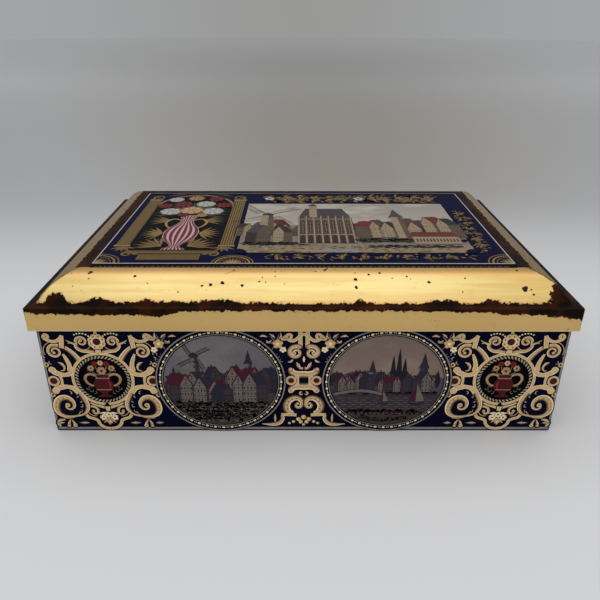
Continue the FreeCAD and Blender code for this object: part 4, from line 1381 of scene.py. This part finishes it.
def drawMillHill(sheet, across):        # dusk village below a windmill
    chance = random.Random(pictureSeeds["millHill"])
    startOval(sheet, across, "duskSky")
    land(sheet, "duskFar", [(-36, 1), (-30, 4), (-22, 5.6), (-14, 2.8), (-4, 4.6), (6, 7.4), (15, 9.6),
                            (24, 6.2), (30, 4.8), (36, 3)])
    hedge(sheet, chance, [("duskSlate", 1.0)], -31, 33, 2, 5)
    street(sheet, chance, farHouses, 0, 32, -2.4, 4.2)
    land(sheet, "duskMeadow", [(-36, -5), (-26, -3), (-18, 1.6), (-11, 3.4), (-4, -1), (8, -4.6), (22, -3),
                               (30, -1.6), (36, -3)])
    windmill(sheet, slatePaint, -16, 2.4, 15.5, 8.4, turn=28)
    for place, tall in ((-29, 15), (-26, 12), (31.6, 15), (-3.4, 14), (-6, 11)):
        poplar(sheet, "duskTree", place, -4, tall, 3)
    tower(sheet, slatePaint, 17.6, -4, 17, 4.4)
    street(sheet, chance, nearHouses, -25, 28, -9, 6.2, tall=1.15)
    hedge(sheet, chance, [("duskTree", 0.8), ("duskLeaf", 0.5)], -28, 29, -9.4, 4)
    street(sheet, chance, nearHouses, -22, 26, -16.4, 7.2, tall=1.1)
    land(sheet, "duskGround", [(-30.4, -17.2), (-20, -17.6), (-8, -18.4), (6, -18.4), (20, -17.8),
                               (30.4, -17.2)])
    coats = [("duskTree", 1.2), ("duskLeaf", 0.95), ("duskPetal", 0.42)]
    for low, reach in ((-18.6, 29), (-21.6, 27), (-24.8, 24), (-28, 20), (-30.6, 15)):
        hedge(sheet, chance, coats, -reach, reach, low, 5.2)


def boat(sheet, middle, size):
    sheet.stroke("duskTimber", [(middle - 5 * size, -15.4, 0.4), (middle - 2 * size, -16.8, 1.8 * size),
                                (middle + 3 * size, -16.8, 1.8 * size), (middle + 6.6 * size, -14.8, 0.4)])
    sheet.post("duskTimber", middle, -16, -16 + 16 * size, 0.36)
    sheet.shape("duskWall", [(middle + 0.4, -15), (middle + 6 * size, -14.6),
                             (middle + 0.4, -15 + 14 * size)])
    sheet.shape("duskRoof", [(middle - 0.4, -15), (middle - 4.4 * size, -14.6),
                             (middle - 0.4, -15 + 11 * size)])


def drawLakeShore(sheet, across):       # dusk town across a lake, with a bridge and two sails
    chance = random.Random(pictureSeeds["lakeShore"])
    startOval(sheet, across, "duskGlow")
    land(sheet, "duskFar", [(-36, 3), (-29, 4.4), (-22, 7.6), (-17, 6), (-10, 8.6), (-3, 5.4), (6, 4.8),
                            (16, 3.6), (27, 5), (36, 2)])
    street(sheet, chance, farHouses, -29, 30, -3.6, 4)
    for place, tall in ((3.4, 24), (7, 29), (10.6, 22), (-19.6, 14), (31.8, 13)):
        poplar(sheet, "duskTree", place, -5, tall, 3.6)
    tower(sheet, slatePaint, -9.4, -5, 12, 4)
    tower(sheet, dimPaint, 22.6, -5, 15, 5)
    street(sheet, chance, nearHouses, -28, 29, -8, 5)
    hedge(sheet, chance, [("duskTree", 0.8), ("duskLeaf", 0.4)], -32, 33, -9.6, 4)
    land(sheet, "duskWater", [(-34.6, -9.6), (-22, -10), (-6, -10.6), (10, -10.4), (24, -10), (34.6, -9.6)])
    ripples(sheet, "duskWall", -29, 31, -12.4, 6)
    sheet.up(0.3)
    deck = [(-33, -9.4, 1.8), (-25, -7.6, 2), (-17, -6.8, 2), (-9, -7.6, 2), (-1, -9.8, 1.8)]
    for pier in (-25, -17, -9):
        sheet.stroke("duskShade", [(pier, -14.4, 2.4), (pier, -7.6, 1.8)], straight=True)
    sheet.stroke("duskWall", deck)
    sheet.stroke("duskTimber", [(x, z + 1.2, 0.4) for x, z, width in deck])
    sheet.up()
    boat(sheet, 19, 1.0)
    boat(sheet, -2, 0.6)
    sheet.up()
    land(sheet, "duskGround", [(-24.6, -23.6), (-16, -22.4), (-4, -23.4), (8, -22), (18, -23),
                               (24.6, -23.6)])
    hedge(sheet, chance, [("duskTree", 1.2), ("duskRoof", 0.7), ("duskPetal", 0.3)], -23, 23, -24.6, 5)
    hedge(sheet, chance, [("duskTree", 1.0), ("duskLeaf", 0.7)], -15, 15, -30.4, 4.6, bend=0.01)


wallLayout = {                  # millimetres, from a wall's middle and from its ends
    "longMedals": 126.0,
    "shortMedals": 73.9,
    "borderTop": 76.0,
}


def drawBorder(sheet, half):    # grey line along the foot and up the corners, black edge below
    sheet.moveTo((0, 0))
    sheet.box("edge", -half + 0.3, 0.6, half - 0.3, 3.6)
    sheet.up(0.5)
    sheet.box("grey", -half + 0.9, 1.2, half - 0.9, 2.9)
    for side in (-1, 1):
        sheet.post("grey", side * (half - 1.0), 2.9, wallLayout["borderTop"], 1.1)


def makeWallPrints():
    long = Print()
    drawBorder(long, wallHalfX)
    for side, drawPicture in ((-1, drawMillHill), (1, drawLakeShore)):
        drawMedallion(long, (side * wallLayout["longMedals"], medal["middle"]), side)
        drawPicture(long, side * oval["centres"])
        drawOvalFrame(long, side * oval["centres"])
    drawDivider(long, 0)
    long.lay("front_wall_print", "box", onWall(0, wallHalfY))
    long.lay("back_wall_print", "box", onWall(180, wallHalfY))
    for name, turn, drawPicture in (("right_wall_print", 90, drawMillHill),
                                    ("left_wall_print", -90, drawLakeShore)):
        sheet = Print()
        drawBorder(sheet, wallHalfY)
        for side in (-1, 1):
            drawMedallion(sheet, (side * wallLayout["shortMedals"], medal["middle"]), side)
        drawPicture(sheet, 0)
        drawOvalFrame(sheet, 0)
        sheet.lay(name, "box", onWall(turn, wallHalfX))


makeWallPrints()
print("stage: walls printed")


# Printing on the lid. Places run from the panel's middle, and past its edge down the crown

panelHalfX = lidHalfX - lidSheet["panelInset"] / mm
panelHalfY = lidHalfY - lidSheet["panelInset"] / mm
crownLength = lidSheet["crownRadius"] * crownFoot / mm


def overLid(flat):              # bends a flat print over the panel and down the crown
    across, up, lift = flat
    pastX, pastY = abs(across) - panelHalfX, abs(up) - panelHalfY
    turn = max(pastX, pastY, 0.0) * mm / lidSheet["crownRadius"]
    radius = lidSheet["crownRadius"] / mm + lift
    reach = radius * math.sin(turn)
    height = crownCentre / mm + radius * math.cos(turn)
    if turn > 0 and pastY >= pastX:
        up = math.copysign(panelHalfY + reach, up)
    elif turn > 0:
        across = math.copysign(panelHalfX + reach, across)
    return Vector((across, up, height))


panelArt = {
    "frame": (-132.0, -79.8, 132.0, 79.7),          # left, foot, right and top of the white line
    "line": 1.1,
    "sideLine": 0.8,
    "backLine": 0.5,
    "strip": -86.3,                                 # the dark strip in front of it ends here, and is
    "stripStep": 0.9,                               # laid in short steps, to follow the crown
    "stripSteps": 8,
    "picture": (-44.0, -62.4, 113.0, 48.5),
    "cutCorner": 7.0,
    "nicheMiddle": -87.0,
    "nicheHalf": 30.5,
    "nicheFoot": -58.0,
    "archFoot": 40.0,
    "archHeight": 33.0,
    "pilaster": 9.0,
    "capital": 58.0,
}


def arc(sheet, inkName, radius, start, end, width, tall=1.0, up=0.0):
    places = aroundOval(radius, radius * tall, 16, start, end)
    last = math.radians(end)
    places.append((radius * math.cos(last), radius * tall * math.sin(last)))
    sheet.stroke(inkName, [(x, z + up, width) for x, z in places], smooth=3)


def beads(sheet, inkName, radius, start, end, count, size):
    for x, z in aroundCircle(radius, count, start, end):
        sheet.disc(inkName, x, z, size, corners=5)


def rosette(sheet, centre, ground, radius, start, end):         # part of a round flower inside bead rings
    sheet.moveTo(centre, height=ground)
    count = round((end - start) / 9)
    arc(sheet, "ochre", radius, start, end, 0.9)
    arc(sheet, "edge", 0.82 * radius, start, end, 0.24 * radius)
    arc(sheet, "ochre", 0.66 * radius, start, end, 0.6)
    sheet.up(0.5)
    beads(sheet, "ochreLight", 0.82 * radius, start + 4, end + 4, count, 0.8)
    spray(sheet, "ochre", 0, 0, range(start + 10, end, 20), 0.6 * radius, 2.0)
    sheet.up(0.5)
    spray(sheet, "ochreLight", 0, 0, range(start + 10, end, 20), 0.45 * radius, 0.8)


def garland(sheet, ground, chance, start, end, spread, count, large=1.0, blossoms=0):
    # leaves along a line, clumped here and there, with a blossom at every so many leaves
    sheet.moveTo((0, 0), height=ground)
    runX, runY = end[0] - start[0], end[1] - start[1]
    length = math.hypot(runX, runY)
    along = math.degrees(math.atan2(runY, runX))
    for inkName, size, width in (("edge", 5.8, 3.6), ("ochreDark", 5.2, 2.2), ("ochre", 4.4, 1.5),
                                 ("ochreLight", 2.8, 0.9)):
        for place in sheet.level(range(count)):
            share = (place + 0.8 * chance.random() + 1.6 * math.sin(0.9 * place)) / count
            aside = spread * (2 * chance.random() - 1)
            x = start[0] + runX * share - runY / length * aside
            y = start[1] + runY * share + runX / length * aside
            angle = along + 70 * math.sin(1.7 * place) + 60 * (chance.random() - 0.5)
            leaf(sheet, inkName, x, y, angle, large * size * (0.6 + 0.7 * chance.random()), large * width)
        sheet.up(0.3)
    if not blossoms:
        return
    for place in range(0, count, blossoms):
        share = (place + 3 + 2 * chance.random()) / count
        x, y = start[0] + runX * share, start[1] + runY * share
        petalInk = "white" if place % 4 == 0 else "ochre"
        for petalX, petalY in aroundCircle(1.5 * large, 5, 18, 378):
            sheet.disc(petalInk, x + petalX, y + petalY, 1.05 * large, corners=5)
        sheet.disc("roseDeep", x, y, 0.8 * large, corners=5)


def drawPanelGround(sheet, chance):
    left, foot, right, top = panelArt["frame"]
    sheet.box("panelGround", left, foot, right, top)
    steps = [panelArt["strip"] + panelArt["stripStep"] * step for step in range(panelArt["stripSteps"])]
    for low, high in zip(steps, steps[1:]):
        sheet.box("edge", left, low, right, min(high, foot))
    sheet.up()
    corners = [(left, foot), (right, foot), (right, top), (left, top), (left, foot)]
    widths = [panelArt[name] for name in ("line", "sideLine", "backLine", "sideLine")]
    for width, start, end in zip(widths, corners, corners[1:]):
        sheet.line("white", start, end, width)
    x = left + 3
    while x < right - 6:
        dash = 0.8 + 2.2 * chance.random()
        sheet.box("ochre", x, panelArt["strip"] + 0.8, x + dash, panelArt["strip"] + 1.6)
        x += dash + 1.1
    sheet.up()


# The niche on the left of the panel, with a striped vase of roses

# height and width of the vase from its foot up
vaseShape = [(-56.5, 16), (-54, 14), (-50, 6), (-46, 9), (-39, 18), (-30, 24), (-21, 25), (-12, 21), (-5, 14),
             (1, 10), (8, 9.5), (13, 13), (16, 17)]
# place, radius, petals and the dark between them
roses = [(-17, 27, 8.4, "white", "sprig"), (16, 28, 8.6, "white", "sprig"), (-1, 30, 9.4, "petal", "brown"),
         (-24, 42, 6.4, "roseDeep", "coal"), (-10, 46, 8.2, "roseDeep", "coal"), (8, 47, 8, "white", "sprig"),
         (23, 44, 7, "roseDeep", "coal"), (-18, 59, 6.4, "white", "sprig"),
         (-2, 63, 7, "ochreLight", "ochreDark"), (15, 61, 6.8, "roseDeep", "coal"),
         (-6, 18, 4.6, "roseDeep", "coal"), (9, 17, 4.2, "ochreLight", "brown")]


def rose(sheet, across, up, radius, petalInk, shadeInk):
    sheet.disc(shadeInk, across, up, radius, corners=10)
    for share, petals, size in ((0.7, 8, 0.25), (0.42, 6, 0.2), (0.16, 3, 0.12)):
        for x, z in aroundCircle(radius * share, petals, 70 * share, 360 + 70 * share):
            sheet.disc(petalInk, across + x, up + z, radius * size, corners=6)
        sheet.disc(shadeInk, across, up, radius * (share - 0.14), corners=8)
    sheet.disc(petalInk, across, up, 0.1 * radius, corners=5)


def drawNicheFrame(sheet, half, foot):      # the dark recess with its arch, pilasters and plinth
    archFoot, tall = panelArt["archFoot"], panelArt["archHeight"] / half
    arch = [(x, archFoot + z) for x, z in aroundOval(half, panelArt["archHeight"], 20, 0, 180)]
    sheet.shape("bottle", [(-half, foot), (half, foot)] + arch + [(-half, archFoot)])
    sheet.up()
    outer, capital = half + panelArt["pilaster"], panelArt["capital"]
    for flip in sheet.halves():
        sheet.box("ochre", half, foot + 10, outer, capital)
        sheet.box("ochreLight", half - 1, capital, outer + 1, capital + 2.4)
        sheet.box("ochreLight", half - 1, foot + 8, outer + 1, foot + 10.4)
    sheet.box("ochre", -half, foot - 5, half, foot)
    sheet.box("ochre", -20, -74, 20, -64.6)
    arc(sheet, "ochre", half, 0, 180, 2.6, tall=tall, up=archFoot)
    sheet.up()
    for flip in sheet.halves():
        for line in range(5):
            x = half + 1.2 + 1.7 * line
            sheet.post("ochreDark", x, foot + 11, capital - 0.6, 0.8)
            sheet.post("ochreLight", x + 0.8, foot + 11, capital - 0.6, 0.3)
        spray(sheet, "ochre", half + 3, foot + 7, (200, 235, 265, 295, 330), 9, 2.6)
        arc(sheet, "ochreLight", half, 0, 88, 0.7, tall=tall, up=archFoot)
        sheet.stroke("ochre", [(21, -64.6, 1.6)] + swirl((28, -64), 180, 1.2, 4.6, 1.2, 2.2, 1.0, way=-1))
        sheet.stroke("ochre", [(outer, 60.8, 1.2)] + swirl((outer - 6, 66), -40, 1.3, 5.2, 1.3, 2.2, 1.0))
        sheet.stroke("ochre", [(outer - 12, 70, 0.4), (outer - 19, 74, 1.8), (outer - 27, 76, 0.4)])
    for line in range(5):
        sheet.rail("ochreDark", -19.5, 19.5, -66 - 1.8 * line, 0.6)
    for line in range(2):
        sheet.rail("ochreDark", -half, half, foot - 1.4 - 2 * line, 0.5)


def drawNiche(sheet, ground):
    sheet.moveTo((panelArt["nicheMiddle"], 0), height=ground)
    drawNicheFrame(sheet, panelArt["nicheHalf"], panelArt["nicheFoot"])
    for flip in sheet.halves():         # gold leafwork behind the vase
        spray(sheet, "ochre", 9, -50, range(-8, 100, 18), 19, 3.0)
        spray(sheet, "ochre", 13, -24, range(-60, 80, 20), 15, 2.6)
        spray(sheet, "ochre", 12, 4, range(-30, 60, 18), 16, 2.4)
    sheet.up(0.5)
    for flip in sheet.halves():
        spray(sheet, "ochreDark", 9, -50, range(1, 100, 18), 17, 1.2)
        spray(sheet, "ochreLight", 13, -24, range(-60, 80, 20), 12, 0.7)
        spray(sheet, "ochreLight", 9, -50, range(-8, 100, 18), 15, 0.7)
        sheet.stroke("ochreLight", [(5, 5, 1.2), (10, 8, 1.7), (14.5, 3, 2), (14, -6, 1.8), (10.5, -13, 1.2)])
    sheet.up(0.5)
    sheet.stroke("white", [(0, up, wide) for up, wide in vaseShape])
    sheet.up(0.5)
    for share in (-0.84, -0.5, -0.17, 0.17, 0.5, 0.84):
        sheet.stroke("rose", [(0.5 * share * wide, up, 0.1 * wide) for up, wide in vaseShape])
    sheet.rail("ochreLight", -9, 9, 16.4, 2.0)
    sheet.up(0.5)
    spray(sheet, "tree", 0, 22, range(-20, 205, 15), 30, 4.6)
    spray(sheet, "treeLight", 0, 24, range(-12, 205, 15), 27, 2.2)
    sheet.up(0.5)
    for bloom in roses:
        rose(sheet, *bloom)


# The landscape on the right of the panel: a mill hill, farm buildings and a pond

stonePaint = {"wall": "stone", "shade": "sepia", "roof": "sepiaDark", "timber": "sepiaDark"}
brickPaint = dict(stonePaint, roof="brick")
sepiaPaint = {"wall": "sepia", "shade": "sepiaDark", "roof": "slate", "timber": "sepiaDark"}


def hatch(sheet, inkName, left, foot, right, top, gap, width, slant):
    for line in sheet.level(range(int((right - left) / gap))):
        x = left + gap * line
        sheet.line(inkName, (x, foot), (x + slant, top), width)


def hall(sheet, left, right, foot, wall, roof, bays):       # a long hall with an arcade and tall windows
    top = foot + wall
    sheet.box("sepia", left, foot, right, top)
    sheet.shape("slate", [(left - 1, top), (right + 1, top), (right - 5, top + roof), (left + 5, top + roof)])
    sheet.up(0.3)
    hatch(sheet, "sepiaDark", left + 1, top, right - 7, top + roof, 1.9, 0.35, slant=4)
    spire = top + roof + 7
    sheet.box("stone", left + 8, top + 2, left + 14, spire)
    sheet.shape("sepiaDark", [(left + 7, spire), (left + 15, spire), (left + 11, spire + 6)])
    step = (right - left) / bays
    middles = [left + step * (bay + 0.5) for bay in range(bays)]
    edges = [left + step * bay for bay in range(bays + 1)]
    for x in middles:
        for low, high, wide in ((0.36, 0.84, 0.46), (0.0, 0.24, 0.6)):
            opening = [(low, wide), (high, wide), (high + 0.07, 0.1)]
            sheet.stroke("sepiaDark", [(x, foot + share * wall, width * step) for share, width in opening])
    sheet.up(0.3)
    for x in middles:
        sheet.post("stone", x, foot + 0.36 * wall, foot + 0.86 * wall, 0.35)
        for share in (0.5, 0.64, 0.78):
            sheet.rail("stone", x - 0.22 * step, x + 0.22 * step, foot + share * wall, 0.4)
    for share, width in ((0.31, 1.5), (0.95, 1.2)):
        sheet.rail("stone", left, right, foot + share * wall, width)
    for x in edges:
        sheet.stroke("stone", [(x, foot, 1.8), (x, foot + 0.6 * wall, 1.4), (x, top + 2, 1.1),
                               (x, top + 6, 0.2)])
    sheet.up(0.3)
    for x in edges:
        sheet.post("sepiaDark", x + 0.7, foot, top, 0.5)
    sheet.up(0.3)


def drawPanelSky(sheet, chance):
    left, foot, right, top = panelArt["picture"]
    sheet.box("edge", left - 0.8, foot - 0.8, right + 0.8, top + 0.8)
    sheet.up()
    sheet.box("panelSky", left, foot, right, top)
    sheet.up()
    for streak in sheet.level(range(90)):       # thin cloud lines, as an engraver draws them
        x = left + 6 + (right - left - 16) * chance.random()
        z = -6 + (top + 4) * chance.random()
        sheet.stroke("farHill" if streak % 3 else "white",
                     [(x - 4, z - 0.6, 0.15), (x, z, 0.7), (x + 4, z - 0.4, 0.15)], smooth=2)
    sheet.up(0.3)
    sheet.shape("farHill", [(left, foot), (right, foot), (right, -16), (98, -9), (84, -12), (66, -5),
                            (50, -8), (34, -2), (12, -8), (-8, -5), (-30, -12), (left, -9)])
    sheet.up(0.5)


def drawPanelTown(sheet, chance):
    left, right = panelArt["picture"][::2]
    street(sheet, chance, [stonePaint, sepiaPaint, brickPaint], left + 4, right - 6, -30, 8, tall=1.5)
    windmill(sheet, stonePaint, -27, -22, 40, 13, turn=32)
    sheet.up(0.3)
    street(sheet, chance, [sepiaPaint, stonePaint, sepiaPaint], left + 16, -8, -44, 9, tall=1.7)
    hedge(sheet, chance, [("sepiaDark", 1.1), ("tree", 0.7)], left + 5, -4, -46, 6)
    hall(sheet, -3, 36, -44, 54, 24, 7)
    for across, tall in ((41, 40), (45, 34), (49, 30)):
        poplar(sheet, "tree", across, -44, tall, 5)
    sheet.up(0.3)
    street(sheet, chance, [brickPaint, stonePaint, sepiaPaint, brickPaint], 52, right - 8, -34, 9, tall=1.9)
    tower(sheet, dict(stonePaint, roof="slate"), 71, -40, 52, 9)
    hedge(sheet, chance, [("sepiaDark", 1.2), ("tree", 0.9), ("treeLight", 0.5)], 40, right - 6, -41, 8)
    sheet.box("stone", 76, -46, right - 5, -32)         # a long barn
    sheet.shape("brick", [(73, -32), (right - 3, -32), (right - 7, -22), (77, -22)])
    sheet.up(0.3)
    hatch(sheet, "sepiaDark", 75, -32, right - 7, -22, 1.6, 0.3, slant=2)
    for window in range(13):
        sheet.box("sepiaDark", 78 + 2.3 * window, -42, 79.1 + 2.3 * window, -36)
    sheet.up(0.3)


def drawPanelRoad(sheet, chance):
    left, foot, right = panelArt["picture"][:3]
    sheet.shape("road", [(left, foot), (right, foot), (right, -50), (70, -52), (30, -46), (0, -46),
                         (-20, -49), (left, -46)])
    sheet.up(0.5)
    hedge(sheet, chance, [("sepiaDark", 1.1), ("tree", 0.9), ("treeLight", 0.4)], 46, right - 6, -53, 7)
    hedge(sheet, chance, [("sepiaDark", 0.9), ("treeLight", 0.5)], left + 5, 4, -49, 4)
    for inkName, count, size in (("sepia", 150, 1.0), ("sepiaDark", 90, 0.8), ("white", 30, 0.7)):
        for track in sheet.level(range(count)):         # ruts, stones and tufts on the road
            x, z = left + 8 + (right - left - 18) * chance.random(), -48.5 - 14 * chance.random()
            sheet.stroke(inkName, [(x - 1.8, z, 0.15), (x, z + 0.3, size), (x + 1.4, z, 0.15)], smooth=2)
        sheet.up(0.3)
    sheet.shape("water", [(6, -60), (16, -62), (34, -61.6), (42, -59), (36, -56.6), (22, -55.6), (10, -57)])
    sheet.up(0.5)
    for ripple in range(7):
        x, z = 12 + 3.8 * ripple, -60 + 1.1 * (ripple % 3)
        sheet.stroke("white", [(x - 3, z, 0.2), (x, z, 0.5), (x + 3, z, 0.2)], smooth=2)
    for place in range(9):
        sheet.disc("rose", 58 + 5.4 * place, -52 - 1.8 * (place % 4), 0.9, corners=5)
    sheet.up(0.5)


def cutCorners(sheet):          # rounds the picture's lower corners off with the panel's ground
    left, foot, right = panelArt["picture"][:3]
    radius = panelArt["cutCorner"]
    for side, edge in ((1, left), (-1, right)):
        corner = [(edge + side * x, foot + z) for x, z in aroundCircle(radius, 9, 0, 101)]
        sheet.shape("panelGround", [(edge - side, foot - 1), (edge + side * radius, foot - 1)] + corner
                    + [(edge - side, foot + radius)])
        sheet.up(0.2)
        sheet.stroke("ochre", [(across, up, 0.7) for across, up in corner], smooth=3)


# Wear on the crown's front, as (across, up from its foot, radius)

crownWear = {
    "spots": [(-102, 19, 0.9), (-130, 23, 0.8), (-129.5, 17, 0.6), (-141, 21.5, 0.4), (-75, 8, 0.5),
              (-61, 12, 0.7), (-56, 12.5, 1.0), (-49, 14, 1.3), (-58, 3, 0.7), (-43, 24.5, 0.6),
              (-37, 12, 1.0), (-27, 15, 0.6), (-17.5, 23, 0.5), (-17.5, 19, 0.5), (7, 23.5, 0.5),
              (13, 25, 0.9), (31, 22, 0.5), (31, 16.5, 1.3), (31, 11, 1.1), (39, 20.5, 0.8), (46, 22, 0.9),
              (53, 17.5, 0.5), (62, 19, 0.6), (75, 14.5, 1.0), (94.5, 8, 0.5), (97, 17.5, 0.6),
              (130, 24.5, 0.8), (132, 10, 1.9), (135.5, 9.5, 0.6), (136.5, 6.5, 0.7)],
    "scratches": [((-131, 21), (-128.4, 23), 1.4), ((-25.4, 18.6), (-22.8, 14), 0.5),
                  ((12, 24), (14.6, 27), 0.7), ((17.6, 14), (17.2, 6), 0.2), ((20, 13), (20.2, 5), 0.25),
                  ((-48, 21), (-42, 24), 0.2)],
    "lift": 0.05,               # above the gilding
    "otherSpots": 26,
}


def blot(sheet, chance, across, up, radius):        # a chip in the lacquer with an uneven edge
    corners = aroundCircle(radius, 9)
    reach = [0.7 + 0.6 * chance.random() for corner in corners]
    sheet.shape("worn", [(across + x * share, up + z * share) for (x, z), share in zip(corners, reach)])


def drawCrownWear(sheet, chance):
    crownFront = panelHalfY + crownLength
    sheet.moveTo((0, -crownFront), height=crownWear["lift"])
    for across, up, radius in crownWear["spots"]:
        blot(sheet, chance, across, up, radius)
    for start, end, width in crownWear["scratches"]:
        sheet.line("worn", start, end, width)
    for spot in range(crownWear["otherSpots"]):     # the ends and the back
        sheet.moveTo((0, 0), height=crownWear["lift"])
        down = 4 + 24 * chance.random()
        radius = 0.3 + 0.7 * chance.random()
        along = 2 * chance.random() - 1
        if spot % 3 == 0:
            blot(sheet, chance, along * (panelHalfX - 2), panelHalfY + down, radius)
        else:
            side = 1 if spot % 3 == 1 else -1
            blot(sheet, chance, side * (panelHalfX + down), along * (panelHalfY - 2), radius)


# garlands below, above and to the right of the picture: ends, spread, leaves, size and blossoms
garlands = [((-26, -68.6), (106, -68.6), 3.0, 66), ((-34, 63), (110, 63), 8.0, 84, 1.7, 11),
            ((122, 30), (120.5, -56), 3.4, 52)]


def makeLidPrint():
    chance = random.Random(pictureSeeds["lid"])
    sheet = Print()
    drawPanelGround(sheet, chance)
    ground = sheet.height
    left, foot, right = panelArt["frame"][:3]
    inner = 0.5 * panelArt["line"]
    for across, radius, start, end in ((left + inner, 15, 0, 90), (right - inner, 15, 90, 180),
                                       (-45, 13, 0, 180)):
        rosette(sheet, (across, foot + inner), ground, radius, start, end)
    for run in garlands:
        garland(sheet, ground, chance, *run)
    drawNiche(sheet, ground)
    sheet.moveTo((0, 0), height=ground)
    drawPanelSky(sheet, chance)
    drawPanelTown(sheet, chance)
    drawPanelRoad(sheet, chance)
    cutCorners(sheet)
    print("panel: print stands", round(sheet.height, 3), "mm high")
    sheet.lay("lid_panel_print", "lid", overLid)
    wear = Print()
    drawCrownWear(wear, chance)
    wear.lay("crown_wear_chips", "lid", overLid)


makeLidPrint()
print("stage: lid printed")
